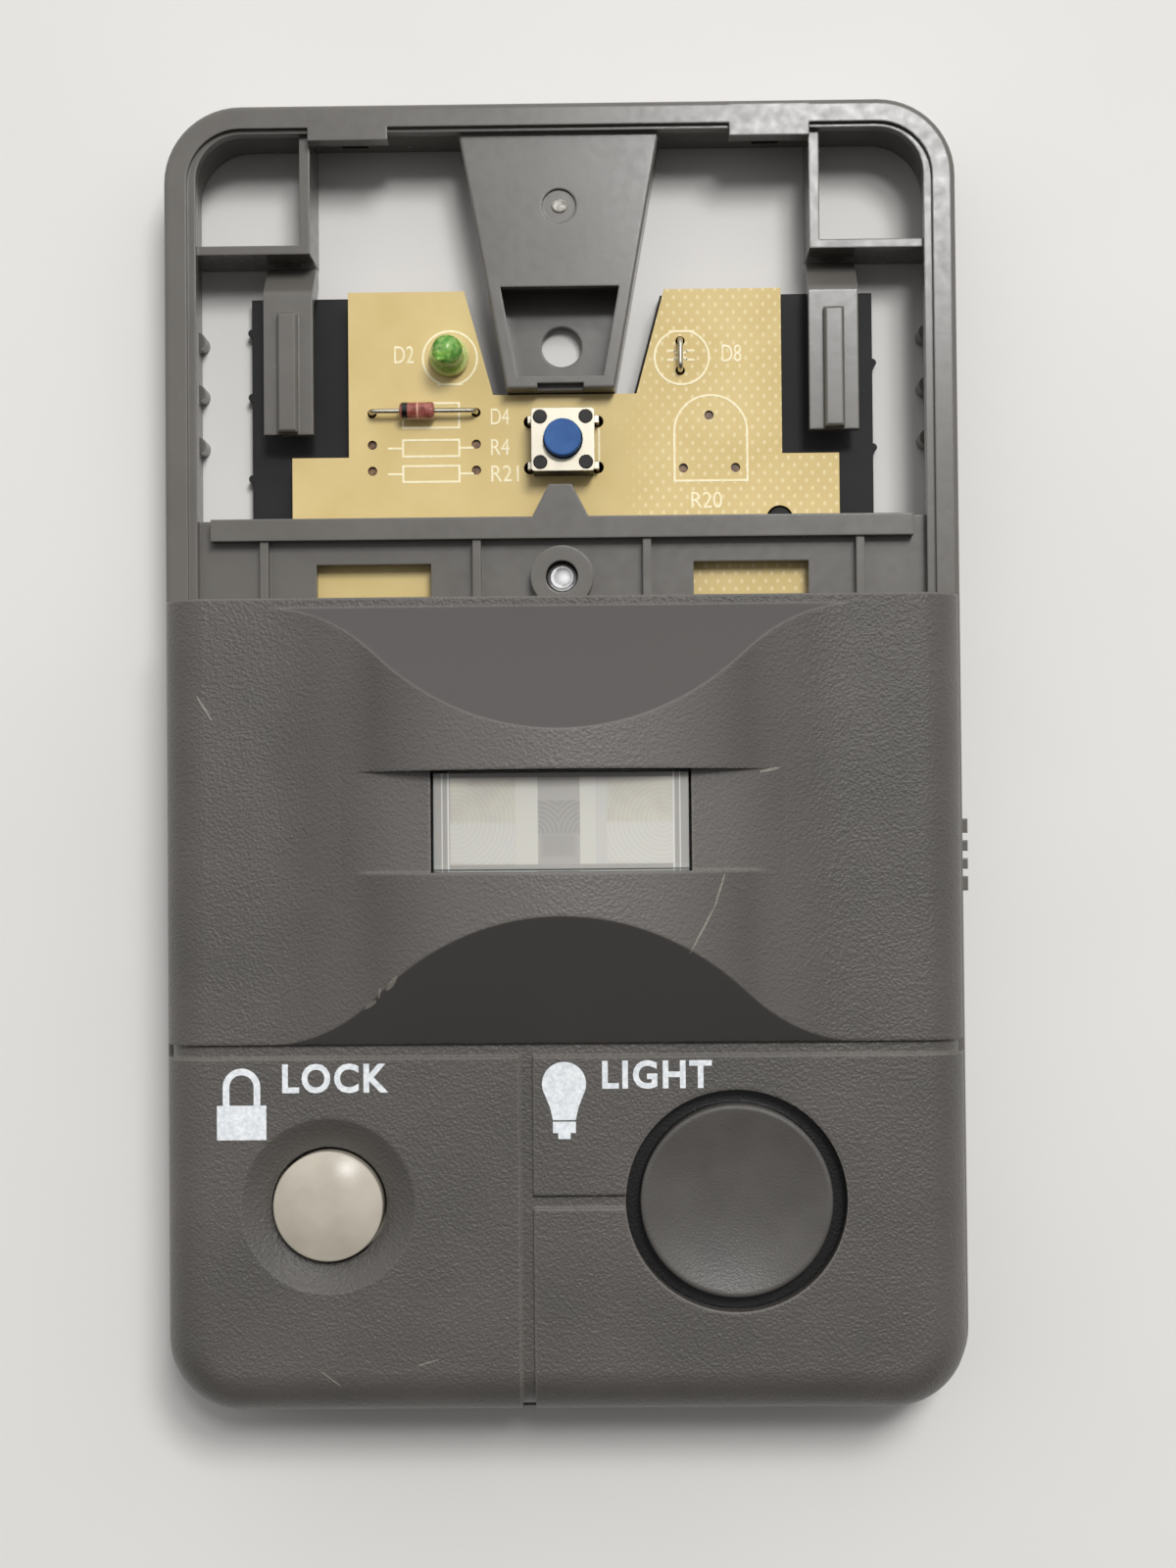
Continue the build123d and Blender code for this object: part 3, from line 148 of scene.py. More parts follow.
world = bpy.data.worlds.new("pale_room")
bpy.context.scene.world = world
world.use_nodes = True
gaze = add_node(world, "SeparateXYZ", {0: add_node(world, "TexCoord").outputs["Generated"]})
TOP_PULL, SIDE_PULL = 1.7, 0.9  # how much paler the room is beyond the top, and at the sides
rise = add_node(world, "Math", {
    0: gaze.outputs["Y"], 1: TOP_PULL, 2: gaze.outputs["Z"],
}, operation="MULTIPLY_ADD")
side = add_node(world, "Math", {0: gaze.outputs["X"]}, operation="ABSOLUTE")
rise = add_node(world, "Math", {
    0: side.outputs[0], 1: SIDE_PULL, 2: rise.outputs[0],
}, operation="MULTIPLY_ADD")
ceiling = add_node(world, "MapRange", {
    "Value": rise.outputs[0], "From Min": 0.3, "From Max": 2.1, "To Min": 0.0, "To Max": 0.86,
})
ray = add_node(world, "LightPath")
foot = add_node(world, "MapRange", {
    "Value": gaze.outputs["Z"], "From Min": 0.14, "From Max": 0.04,
})
mirrored = add_node(world, "Math", {
    0: ray.outputs["Is Glossy Ray"], 1: foot.outputs[0],
}, operation="MULTIPLY")
looking = add_node(world, "Math", {
    0: ray.outputs["Is Camera Ray"], 1: ray.outputs["Is Transmission Ray"],
}, operation="MAXIMUM")
looking = add_node(world, "Math", {0: looking.outputs[0], 1: mirrored.outputs[0]}, operation="MAXIMUM")
WALL = 0.62  # 1 would be white
seen = add_node(world, "Mix", {0: looking.outputs[0], 2: ceiling.outputs[0], 3: WALL})
room = world.node_tree.nodes["Background"]
room.inputs["Color"].default_value = (0.98, 0.98, 1.0, 1)
world.node_tree.links.new(seen.outputs[0], room.inputs["Strength"])
bpy.context.scene.view_settings.view_transform = "Standard"
print("lamps ready")

# %% [markdown]
# ## Moulded ABS
# The housing, the cover and the big button are ABS, the tough grey plastic of household
# gadgets. Inside, the steel mould was polished and the plastic is smooth with a satin sheen.
# Outside, the mould was etched with a leather grain, so light breaks up into fine sparkles.
# The grain is a quarter of a millimetre across. It is bump, because real grain is only a few
# hundredths of a millimetre deep. The edges are softened by a Bevel node, since no moulding
# has a knife edge, and a pale line is painted along them as a highlight.

# %% ABS: one recipe, three finishes
def mottle(material, place, low, high, size_mm, detail=3.0):
    """Slow drift between two colours, as in any moulded or printed surface."""
    drift = add_node(material, "TexNoise", {"Vector": place, "Scale": per_mm(size_mm), "Detail": detail})
    ramp = add_node(material, "ValToRGB", {"Fac": drift.outputs[0]})
    ramp.color_ramp.elements[0].position = 0.35
    ramp.color_ramp.elements[0].color = linear(low)
    ramp.color_ramp.elements[1].position = 0.65
    ramp.color_ramp.elements[1].color = linear(high)
    return ramp.outputs["Color"]


def streak(material, place, middle, length, width, turn):
    """1 inside a thin ellipse on the surface, broken up by noise, as a scratch is; mm and degrees."""
    local = add_node(material, "Mapping", {
        "Vector": place,
        "Location": (middle[0] * MM, middle[1] * MM, 0),
        "Rotation": (0, 0, math.radians(turn)),
        "Scale": (length * MM / 2, width * MM / 2, 1),
    }, vector_type="TEXTURE")
    flat = add_node(material, "VectorMath", {0: local.outputs[0], 1: (1, 1, 0)}, operation="MULTIPLY")
    reach = add_node(material, "VectorMath", {0: flat.outputs[0]}, operation="LENGTH")
    grit = add_node(material, "TexNoise", {"Vector": place, "Scale": per_mm(0.3), "Detail": 4.0})
    rough = add_node(material, "Math", {0: reach.outputs["Value"], 1: grit.outputs[0]}, operation="ADD")
    return add_node(material, "Math", {0: rough.outputs[0], 1: 1.5}, operation="LESS_THAN").outputs[0]


def soft_edge(material, radius_mm):
    return add_node(material, "Bevel", {"Radius": radius_mm * MM}, samples=6).outputs[0]


def band(material, value, low_mm, high_mm, edge_mm=0.05):
    """1 between two places along one axis, 0 outside, with a short soft edge."""
    rise = add_node(material, "MapRange", {
        "Value": value, "From Min": (low_mm - edge_mm) * MM, "From Max": (low_mm + edge_mm) * MM,
    })
    fall = add_node(material, "MapRange", {
        "Value": value, "From Min": (high_mm - edge_mm) * MM, "From Max": (high_mm + edge_mm) * MM,
        "To Min": 1.0, "To Max": 0.0,
    })
    both = add_node(material, "Math", {0: rise.outputs[0], 1: fall.outputs[0]}, operation="MULTIPLY")
    return both.outputs[0]


def edge_highlight(material, rounded, strength):
    """Mask for a painted highlight: 0 on open faces, up to strength where the rounded normal leaves the
    face's own: at edges.
    """
    own = add_node(material, "NewGeometry").outputs["Normal"]
    agree = add_node(material, "VectorMath", {0: rounded, 1: own}, operation="DOT_PRODUCT")
    return add_node(material, "MapRange", {
        "Value": agree.outputs["Value"], "From Min": 0.985, "From Max": 0.90, "To Max": strength,
    }).outputs[0]


# The smooth inner mouldings: warm grey, satin, with faint flow marks.
smooth_abs, shader, place = start_material("abs_moulded_satin", roughness=0.24, ior=1.53)
grey = mottle(smooth_abs, place, "#625F5A", "#686560", 9)
rounded = soft_edge(smooth_abs, 0.22)
# A pale line is painted along the edges as a highlight.
grey = add_node(smooth_abs, "Mix", {
    0: edge_highlight(smooth_abs, rounded, 0.30), 6: grey, 7: linear("#9A968E"),
}, data_type="RGBA")
link(smooth_abs, grey.outputs[2], shader, "Base Color")
flow = add_node(smooth_abs, "TexNoise", {"Vector": place, "Scale": per_mm(1.1), "Detail": 5.0})
waves = add_node(smooth_abs, "Bump", {
    "Strength": 0.12, "Distance": 0.03 * MM, "Height": flow.outputs[0], "Normal": rounded,
})
link(smooth_abs, waves.outputs[0], shader, "Normal")
sheen = add_node(smooth_abs, "MapRange", {"Value": flow.outputs[0], "To Min": 0.15, "To Max": 0.32})
link(smooth_abs, sheen.outputs[0], shader, "Roughness")
print("made", smooth_abs.name)

# %% The grained cover, with the marks of use
grained_abs, shader, place = start_material("abs_leather_grain", roughness=0.36, ior=1.53)
cells = add_node(grained_abs, "TexVoronoi", {"Vector": place, "Scale": per_mm(0.30)}, feature="SMOOTH_F1")
grit = add_node(grained_abs, "TexNoise", {"Vector": place, "Scale": per_mm(0.22), "Detail": 3.0})
leather = add_node(grained_abs, "Math", {
    0: cells.outputs["Distance"], 1: grit.outputs[0],
}, operation="ADD")

# The two end slopes of the hood come from a polished part of the mould: they lean along Y.
facing = add_node(grained_abs, "SeparateXYZ", {
    "Vector": add_node(grained_abs, "TexCoord").outputs["Normal"],
})
lean = add_node(grained_abs, "Math", {0: facing.outputs["Y"]}, operation="ABSOLUTE")
leaning = add_node(grained_abs, "Math", {0: lean.outputs[0], 1: 0.45}, operation="GREATER_THAN")
height = add_node(grained_abs, "SeparateXYZ", {"Vector": place})
cover_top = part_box("front_cover")[1].z - 9.3 * MM
raised = add_node(grained_abs, "Math", {0: height.outputs["Z"], 1: cover_top + 0.1 * MM},
                  operation="GREATER_THAN")
polished = add_node(grained_abs, "Math", {
    0: leaning.outputs[0], 1: raised.outputs[0],
}, operation="MULTIPLY")
grain_depth = add_node(grained_abs, "MapRange", {
    "Value": polished.outputs[0], "To Min": 0.85, "To Max": 0.04,
})

# Edges are rounded, but not where the channel beside the lens runs out into the flank.
rounded = soft_edge(grained_abs, 0.45)
across = add_node(grained_abs, "Math", {0: height.outputs["X"]}, operation="ABSOLUTE")
run_out = add_node(grained_abs, "Math", {
    0: band(grained_abs, across.outputs[0], 21.5, 25.0, 0.8),
    1: band(grained_abs, height.outputs["Y"], -14, 0),
}, operation="MULTIPLY")
own = add_node(grained_abs, "NewGeometry").outputs["Normal"]
shaped = add_node(grained_abs, "Mix", {0: run_out.outputs[0], 4: rounded, 5: own}, data_type="VECTOR")
grain = add_node(grained_abs, "Bump", {
    "Strength": grain_depth.outputs[0], "Distance": 0.07 * MM,
    "Height": leather.outputs[0], "Normal": shaped.outputs[1],
})
link(grained_abs, grain.outputs[0], shader, "Normal")

# Scratches and scuffs, where hands and tools met it. Their middles are in millimetres.
marks = (
    ((-33.4, 4.1), 2.6, 0.22, -58),
    ((14.4, -13.2), 3.4, 0.20, 72),
    ((12.8, -16.7), 4.8, 0.22, 61),
    ((-15.6, -21.5), 1.7, 0.45, 52),
    ((-16.8, -22.4), 1.0, 0.20, 80),
    ((-17.7, -23.5), 1.3, 0.35, 35),
    ((19.2, -2.2), 2.0, 0.25, 12),
    ((-21.9, -58.4), 2.4, 0.12, -38),
    ((-12.8, -56.9), 2.2, 0.12, 16),
)
wear = None
for mark in marks:
    spot = streak(grained_abs, place, *mark)
    if wear is not None:
        spot = add_node(grained_abs, "Math", {0: wear, 1: spot}, operation="MAXIMUM").outputs[0]
    wear = spot
plain = mottle(grained_abs, place, "#524F4B", "#595551", 12)

# A painted sheen makes the crown of the hood, where it is high and level, paler than the flat panel.
crown_height = add_node(grained_abs, "MapRange", {
    "Value": height.outputs["Z"], "From Min": cover_top + 0.5 * MM, "From Max": cover_top + 4 * MM,
})
level = add_node(grained_abs, "MapRange", {
    "Value": facing.outputs["Z"], "From Min": 0.80, "From Max": 0.95,
})
painted_crown_sheen = add_node(grained_abs, "Math", {0: crown_height.outputs[0], 1: level.outputs[0]}, operation="MULTIPLY")
plain = add_node(grained_abs, "Mix", {
    0: painted_crown_sheen.outputs[0], 6: plain, 7: linear("#67635F"),
}, data_type="RGBA")

# A polished face scatters less light than a grained one, so the end slopes look deeper.
plain = add_node(grained_abs, "Mix", {0: polished.outputs[0], 6: plain.outputs[2], 7: linear("#4D4A48")},
                 data_type="RGBA")
# A pale line is painted along the edges as a highlight, left off where the channel runs out.
painted_edge_highlight = add_node(grained_abs, "Math", {
    0: edge_highlight(grained_abs, rounded, 0.5), 1: run_out.outputs[0],
}, operation="SUBTRACT", use_clamp=True)
plain = add_node(grained_abs, "Mix", {0: painted_edge_highlight.outputs[0], 6: plain.outputs[2], 7: linear("#8B877F")},
                 data_type="RGBA")
# Real scratches go over the painted sheen and the painted edge highlight.
wear_and_sheen = add_node(grained_abs, "Mix", {0: wear, 6: plain.outputs[2], 7: linear("#868279")}, data_type="RGBA")
link(grained_abs, wear_and_sheen.outputs[2], shader, "Base Color")
print("made", grained_abs.name, "with", len(marks), "marks of use")

# %% [markdown]
# ## The push buttons
# The big button is the same ABS with a finer, spark-eroded texture, which reads as a soft
# haze; its skirt, down in the gap, is painted near black as shade. The lock button is a paler
# moulding in beige, glossier than the rest, so that the finger finds it.

# %% Button plastics
button_abs, shader, place = start_material("abs_spark_texture", roughness=0.33, ior=1.53)
face_colour = mottle(button_abs, place, "#504D4A", "#575450", 5)
button_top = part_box("light_button")[1].z
# Painted shade: from about two millimetres below the button's top downwards, the skirt turns near black.
depth = add_node(button_abs, "MapRange", {
    "Value": add_node(button_abs, "SeparateXYZ", {"Vector": place}).outputs["Z"],
    "From Min": button_top - 2.4 * MM, "From Max": button_top - 1.8 * MM,
})
painted_skirt_shade = add_node(button_abs, "Mix", {
    0: depth.outputs[0], 6: linear("#161514"), 7: face_colour,
}, data_type="RGBA")
link(button_abs, painted_skirt_shade.outputs[2], shader, "Base Color")
sparks = add_node(button_abs, "TexNoise", {"Vector": place, "Scale": per_mm(0.22), "Detail": 2.0})
haze = add_node(button_abs, "Bump", {
    "Strength": 0.55, "Distance": 0.05 * MM, "Height": sparks.outputs[0],
    "Normal": soft_edge(button_abs, 0.3),
})
link(button_abs, haze.outputs[0], shader, "Normal")

beige_abs, shader, place = start_material("abs_beige_satin", roughness=0.25, ior=1.53)
link(beige_abs, mottle(beige_abs, place, "#B0A899", "#BDB5A6", 4), shader, "Base Color")
orange_peel = add_node(beige_abs, "TexNoise", {"Vector": place, "Scale": per_mm(0.35), "Detail": 2.0})
peel = add_node(beige_abs, "Bump", {
    "Strength": 0.18, "Distance": 0.03 * MM, "Height": orange_peel.outputs[0],
    "Normal": soft_edge(beige_abs, 0.3),
})
link(beige_abs, peel.outputs[0], shader, "Normal")
print("made", button_abs.name, "and", beige_abs.name)

# %% [markdown]
# ## Dark plastics and the blue plunger
# The plate behind the board is black ABS with a faint bloom. Switch bodies and the chip are
# filled thermoset, duller still. The blue plunger is nylon: matt, with moulding marks.

# %% Dark and blue plastics
def moulded(name, low, high, roughness, size_mm, strength, edge_mm, ior=1.5):
    """A plain moulded plastic: two-tone drift, fine bump and softened edges."""
    material, shader, place = start_material(name, roughness=roughness, ior=ior)
    link(material, mottle(material, place, low, high, size_mm * 8), shader, "Base Color")
    fine = add_node(material, "TexNoise", {"Vector": place, "Scale": per_mm(size_mm), "Detail": 4.0})
    bump = add_node(material, "Bump", {
        "Strength": strength, "Distance": 0.03 * MM, "Height": fine.outputs[0],
        "Normal": soft_edge(material, edge_mm),
    })
    link(material, bump.outputs[0], shader, "Normal")
    return material


black_abs = moulded("abs_black_satin", "#121213", "#19191A", 0.55, 0.5, 0.15, 0.12)
thermoset = moulded("thermoset_black_dull", "#232220", "#2C2A28", 0.55, 0.15, 0.3, 0.1)
blue_nylon = moulded("nylon_blue_matt", "#27528C", "#33609B", 0.55, 0.3, 0.25, 0.12)
ceramic_lacquer = moulded("ceramic_dipped_lacquer", "#8A5B2C", "#9C6A36", 0.35, 0.8, 0.2, 0.1)
print("made four plain mouldings")

# %% [markdown]
# ## Metals
# Switch plate and leads are tinned steel and copper: bright, and slightly brushed by the
# rollers. The screws are zinc-plated steel, a little bluer. Terminals are brass. A metal's
# colour sits in its reflection, so the base colour is high and Metallic is 1.

# %% Metals
def plated(name, colour, shade, roughness, grain_mm, stretch=(1, 1, 1)):
    """A bare or plated metal with fine, possibly drawn-out, roller marks."""
    material, shader, place = start_material(name, metallic=1.0, roughness=roughness)
    drawn = add_node(material, "Mapping", {"Vector": place, "Scale": stretch})
    rollers = add_node(material, "TexNoise", {
        "Vector": drawn.outputs[0], "Scale": per_mm(grain_mm), "Detail": 4.0,
    })
    tint = add_node(material, "ValToRGB", {"Fac": rollers.outputs[0]})
    tint.color_ramp.elements[0].color = linear(shade)
    tint.color_ramp.elements[1].color = linear(colour)
    link(material, tint.outputs["Color"], shader, "Base Color")
    gloss = add_node(material, "MapRange", {
        "Value": rollers.outputs[0], "To Min": roughness - 0.08, "To Max": roughness + 0.12,
    })
    link(material, gloss.outputs[0], shader, "Roughness")
    bump = add_node(material, "Bump", {
        "Strength": 0.12, "Distance": 0.02 * MM, "Height": rollers.outputs[0],
        "Normal": soft_edge(material, 0.08),
    })
    link(material, bump.outputs[0], shader, "Normal")
    return material


switch_tin = plated("tinplate_brushed", "#E9E3D2", "#C6BEAA", 0.40, 0.5, (1, 0.15, 1))
lead_tin = plated("tinned_copper_wire", "#F1ECDD", "#BFB6A2", 0.32, 0.4)
zinc_steel = plated("steel_zinc_plated", "#C9CBCD", "#97999C", 0.30, 0.5)
brass = plated("brass_turned", "#D9B463", "#B08C45", 0.30, 0.4)
nickel = plated("nickel_drawn_can", "#C9C6BE", "#A9A69D", 0.30, 0.6)
print("made five metals")

# %% [markdown]
# ## Paper laminate
# Cheap boards are pressed from paper and phenolic resin: a warm tan sheet, a little fibrous,
# glossy from the press. Where copper was etched into dots on the far side they glimmer
# through the right half as pale specks. The punched edges and holes are darker, because the
# cut opens the paper.

# %% Board
laminate, shader, place = start_material("paper_phenolic_laminate", roughness=0.48, ior=1.5)
sheet = mottle(laminate, place, "#CFB779", "#D7C085", 7)
across = add_node(laminate, "SeparateXYZ", {"Vector": place})

# Copper dots: a lattice turned by 45 degrees, each row 0.75 mm above the last.
lattice = add_node(laminate, "Mapping", {
    "Vector": place, "Rotation": (0, 0, math.radians(45)), "Scale": (1.155, 0.893, 1),
})
flat = add_node(laminate, "VectorMath", {0: lattice.outputs[0], 1: (1, 1, 0)}, operation="MULTIPLY")
dots = add_node(laminate, "TexVoronoi", {
    "Vector": flat.outputs[0], "Scale": per_mm(0.95), "Randomness": 0.0,
})
specks = add_node(laminate, "MapRange", {
    "Value": dots.outputs["Distance"], "From Min": 0.12, "From Max": 0.26, "To Min": 0.46, "To Max": 0.0,
})
patch = add_node(laminate, "TexNoise", {"Vector": place, "Scale": per_mm(6)})
shifted = add_node(laminate, "Math", {0: patch.outputs[0], 1: 0.008}, operation="MULTIPLY")
edge_x = add_node(laminate, "Math", {0: across.outputs["X"], 1: shifted.outputs[0]}, operation="ADD")
right_half = add_node(laminate, "MapRange", {
    "Value": edge_x.outputs[0], "From Min": 10 * MM, "From Max": 13 * MM,
})
shown = add_node(laminate, "Math", {0: specks.outputs[0], 1: right_half.outputs[0]}, operation="MULTIPLY")
dotted = add_node(laminate, "Mix", {0: shown.outputs[0], 6: sheet, 7: linear("#F4E6BC")}, data_type="RGBA")

upright = add_node(laminate, "SeparateXYZ", {
    "Vector": add_node(laminate, "TexCoord").outputs["Normal"],
})
up = add_node(laminate, "Math", {0: upright.outputs["Z"]}, operation="ABSOLUTE")
cut_edge = add_node(laminate, "Math", {0: up.outputs[0], 1: 0.5}, operation="LESS_THAN")
board_colour = add_node(laminate, "Mix", {
    0: cut_edge.outputs[0], 6: dotted.outputs[2], 7: linear("#8E5F3C"),
}, data_type="RGBA")
link(laminate, board_colour.outputs[2], shader, "Base Color")
fibres = add_node(laminate, "TexNoise", {"Vector": place, "Scale": per_mm(0.5), "Detail": 6.0})
fibre_bump = add_node(laminate, "Bump", {
    "Strength": 0.10, "Distance": 0.03 * MM, "Height": fibres.outputs[0],
    "Normal": soft_edge(laminate, 0.08),
})
link(laminate, fibre_bump.outputs[0], shader, "Normal")
print("made", laminate.name)

# %% [markdown]
# ## Fresnel lens
# The sensor looks out through a thin sheet of milky polyethylene. It is pressed with several
# flat lenses side by side, each a set of fine rings, and every lens sends one part of the
# room to the sensor. The sheet glows softly and blurs what is behind. The rings are drawn
# from their own centres, and the columns between them are a shade lighter or darker.

# %% Lens sheet
lens_sheet, shader, place = start_material(
    "polyethylene_milky_sheet", roughness=0.34, ior=1.5, transmission_weight=0.16,
    subsurface_weight=0.25, subsurface_scale=1.2 * MM,
)
along = add_node(lens_sheet, "SeparateXYZ", {"Vector": place})


def tinted(material, base, mask, colour):
    return add_node(material, "Mix", {0: mask, 6: base, 7: linear(colour)}, data_type="RGBA").outputs[2]


lens_x = along.outputs["X"]
lens_y = along.outputs["Y"]
milk = mottle(lens_sheet, place, "#D0CCC0", "#DBD8CA", 3)
for low, high, colour in (
    (-4.1, -2.05, "#DCDAD0"), (1.75, 3.2, "#DAD8CE"), (3.2, 4.2, "#D3D1CA"),
    (-2.05, 1.75, "#BDBAB4"), (-12.0, -10.1, "#B0ADA7"), (10.2, 12.0, "#B0ADA7"),
):
    milk = tinted(lens_sheet, milk, band(lens_sheet, lens_x, low, high), colour)
foot = band(lens_sheet, lens_y, -10.6, -6.9, 0.15)
for low, high in ((-10.1, -4.1), (4.2, 10.2)):
    lower_half = add_node(lens_sheet, "Math", {
        0: foot, 1: band(lens_sheet, lens_x, low, high),
    }, operation="MULTIPLY")
    milk = tinted(lens_sheet, milk, lower_half.outputs[0], "#DEDCD4")
below = add_node(lens_sheet, "Math", {
    0: band(lens_sheet, lens_x, -1.7, 1.35, 0.25), 1: band(lens_sheet, lens_y, -10.0, -8.0, 0.25),
}, operation="MULTIPLY")
milk = tinted(lens_sheet, milk, below.outputs[0], "#B3B0AA")
# Darker lines along the lower and upper edges of the sheet; the upper one, under the brow, is painted
# shadow of the brow.
for low, high, colour in ((-11.3, -10.7, "#B6B3AD"), (-2.8, -2.2, "#A19E98")):
    milk = tinted(lens_sheet, milk, band(lens_sheet, lens_y, low, high), colour)
for low, high in ((-10.35, -10.2), (10.2, 10.35), (-10.9, -10.8), (10.8, 10.9)):
    milk = tinted(lens_sheet, milk, band(lens_sheet, lens_x, low, high, 0.03), "#E9E7E0")

# Rings of the single lenses: centre in mm, the box in which each one shows, and its depth.
rings = (
    ((-9.6, -6.8), (-10.1, -4.1), (-11, -2), 0.3), ((9.3, -6.7), (4.2, 10.2), (-11, -2), 0.3),
    ((-2.3, -7.9), (-2.05, -0.15), (-7.9, -4.9), 1.0), ((2.4, -7.9), (-0.15, 1.75), (-7.9, -4.9), 1.0),
)
ridges = None
for centre, (low, high), (foot_y, head_y), depth in rings:
    local = add_node(lens_sheet, "Mapping", {
        "Vector": place, "Location": (centre[0] * MM, centre[1] * MM, 0),
    }, vector_type="TEXTURE")
    disc = add_node(lens_sheet, "VectorMath", {0: local.outputs[0], 1: (1, 1, 0)}, operation="MULTIPLY")
    far = add_node(lens_sheet, "VectorMath", {0: disc.outputs[0]}, operation="LENGTH")
    turns = add_node(lens_sheet, "Math", {0: far.outputs["Value"], 1: per_mm(0.42)}, operation="MULTIPLY")
    tooth = add_node(lens_sheet, "Math", {0: turns.outputs[0]}, operation="FRACT")
    frame_y = add_node(lens_sheet, "Math", {0: band(lens_sheet, lens_y, foot_y, head_y), 1: depth},
                       operation="MULTIPLY").outputs[0]
    cell = add_node(lens_sheet, "Math", {
        0: frame_y, 1: band(lens_sheet, lens_x, low, high),
    }, operation="MULTIPLY")
    teeth = add_node(lens_sheet, "Math", {
        0: tooth.outputs[0], 1: cell.outputs[0],
    }, operation="MULTIPLY").outputs[0]
    if ridges is not None:
        teeth = add_node(lens_sheet, "Math", {0: ridges, 1: teeth}, operation="ADD").outputs[0]
    ridges = teeth
toothed = add_node(lens_sheet, "MapRange", {"Value": ridges, "To Min": 0.0, "To Max": 0.5})
milk = add_node(lens_sheet, "Mix", {
    0: toothed.outputs[0], 6: milk, 7: linear("#8F8D89"),
}, data_type="RGBA")
link(lens_sheet, milk.outputs[2], shader, "Base Color")
ring_bump = add_node(lens_sheet, "Bump", {
    "Strength": 0.25, "Distance": 0.03 * MM, "Height": ridges, "Normal": soft_edge(lens_sheet, 0.15),
})
link(lens_sheet, ring_bump.outputs[0], shader, "Normal")
print("made", lens_sheet.name, "with", len(rings), "ring lenses")

# %% [markdown]
# ## Glass and clear resin
# The light is cast in green epoxy, which lets the metal inside show and spreads the light that
# enters it, so its walls glow even where no lamp reaches them. Its thin rim is yellower and
# cloudier than the thick dome. The small diode is a glass bead fired shut over its copper
# studs, so it looks red-brown with a black band at one end. The sensor's window is dark filter
# glass.

# %% Glass and resin
green_epoxy, shader, place = start_material(
    "epoxy_green_clear", roughness=0.10, ior=1.50, subsurface_weight=1.0,
    subsurface_scale=1.6 * MM, subsurface_radius=(0.8, 1.0, 0.5),
)
light_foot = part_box("status_led")[0].z
thickness = add_node(green_epoxy, "MapRange", {
    "Value": add_node(green_epoxy, "SeparateXYZ", {"Vector": place}).outputs["Z"],
    "From Min": light_foot + 0.8 * MM, "From Max": light_foot + 2.2 * MM,
})
depths = mottle(green_epoxy, place, "#6DBB4E", "#C4F08E", 0.55)
tint = add_node(green_epoxy, "Mix", {
    0: thickness.outputs[0], 6: linear("#D3DE86"), 7: depths,
}, data_type="RGBA")
link(green_epoxy, tint.outputs[2], shader, "Base Color")
clearness = add_node(green_epoxy, "MapRange", {
    "Value": thickness.outputs[0], "To Min": 0.15, "To Max": 0.5,
})
link(green_epoxy, clearness.outputs[0], shader, "Transmission Weight")
cloud = add_node(green_epoxy, "TexNoise", {"Vector": place, "Scale": per_mm(0.7), "Detail": 2.0})
cloudy = add_node(green_epoxy, "Bump", {
    "Strength": 0.10, "Distance": 0.03 * MM, "Height": cloud.outputs[0],
    "Normal": soft_edge(green_epoxy, 0.1),
})
link(green_epoxy, cloudy.outputs[0], shader, "Normal")

bead_glass, shader, place = start_material(
    "glass_bead_over_copper", roughness=0.06, ior=1.5, coat_weight=0.6, coat_roughness=0.03,
)
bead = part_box("diode")
spin_x = add_node(bead_glass, "SeparateXYZ", {"Vector": place})
copper = mottle(bead_glass, place, "#73352A", "#A9655A", 0.7)
band_low = bead[0].x / MM + 0.25
black_band = band(bead_glass, spin_x.outputs["X"], band_low, band_low + 0.55, 0.04)
copper = tinted(bead_glass, copper, black_band, "#16120F")
stud = band(bead_glass, spin_x.outputs["X"], band_low + 1.45, band_low + 1.6, 0.05)
copper = tinted(bead_glass, copper, stud, "#D9A58C")
link(bead_glass, copper, shader, "Base Color")

filter_glass, shader, place = start_material(
    "silicon_filter_window", roughness=0.12, ior=1.9, metallic=0.3,
)
link(filter_glass, mottle(filter_glass, place, "#23262A", "#2C3036", 2), shader, "Base Color")
print("made three clear materials")

# %% [markdown]
# ## Parts behind the cover
# Resistors wear a beige lacquer with colour rings, and the small can of the capacitor has a
# shrunk-on sleeve with a paler stripe. They hardly show, but they are finished all the same.

# %% Lacquer and sleeve
lacquer, shader, place = start_material("resistor_lacquer", roughness=0.32, ior=1.5)
body_colour = mottle(lacquer, place, "#C9A877", "#D4B586", 2)
lacquer_x = add_node(lacquer, "SeparateXYZ", {"Vector": place}).outputs["X"]
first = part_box("resistors")[0].x / MM + 1.1
for i, colour in enumerate(("#7A4A22", "#1E1B19", "#B5372B", "#B8913B")):
    ring = band(lacquer, lacquer_x, first + i * 1.15, first + i * 1.15 + 0.5, 0.04)
    body_colour = tinted(lacquer, body_colour, ring, colour)
link(lacquer, body_colour, shader, "Base Color")

sleeve, shader, place = start_material("pvc_shrink_sleeve", roughness=0.28, ior=1.52)
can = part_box("capacitor")
sleeve_colour = mottle(sleeve, place, "#1D2433", "#263044", 3)
sleeve_x = add_node(sleeve, "SeparateXYZ", {"Vector": place}).outputs["X"]
stripe = band(sleeve, sleeve_x, can[0].x / MM, can[0].x / MM + 1.2, 0.05)
link(sleeve, tinted(sleeve, sleeve_colour, stripe, "#B9BCC2"), shader, "Base Color")
print("made", lacquer.name, "and", sleeve.name)

# %% [markdown]
# ## Dress the solids
# Each solid of the frame now gets its finish. A solid's mesh is never changed here: only its
# material slot is filled.

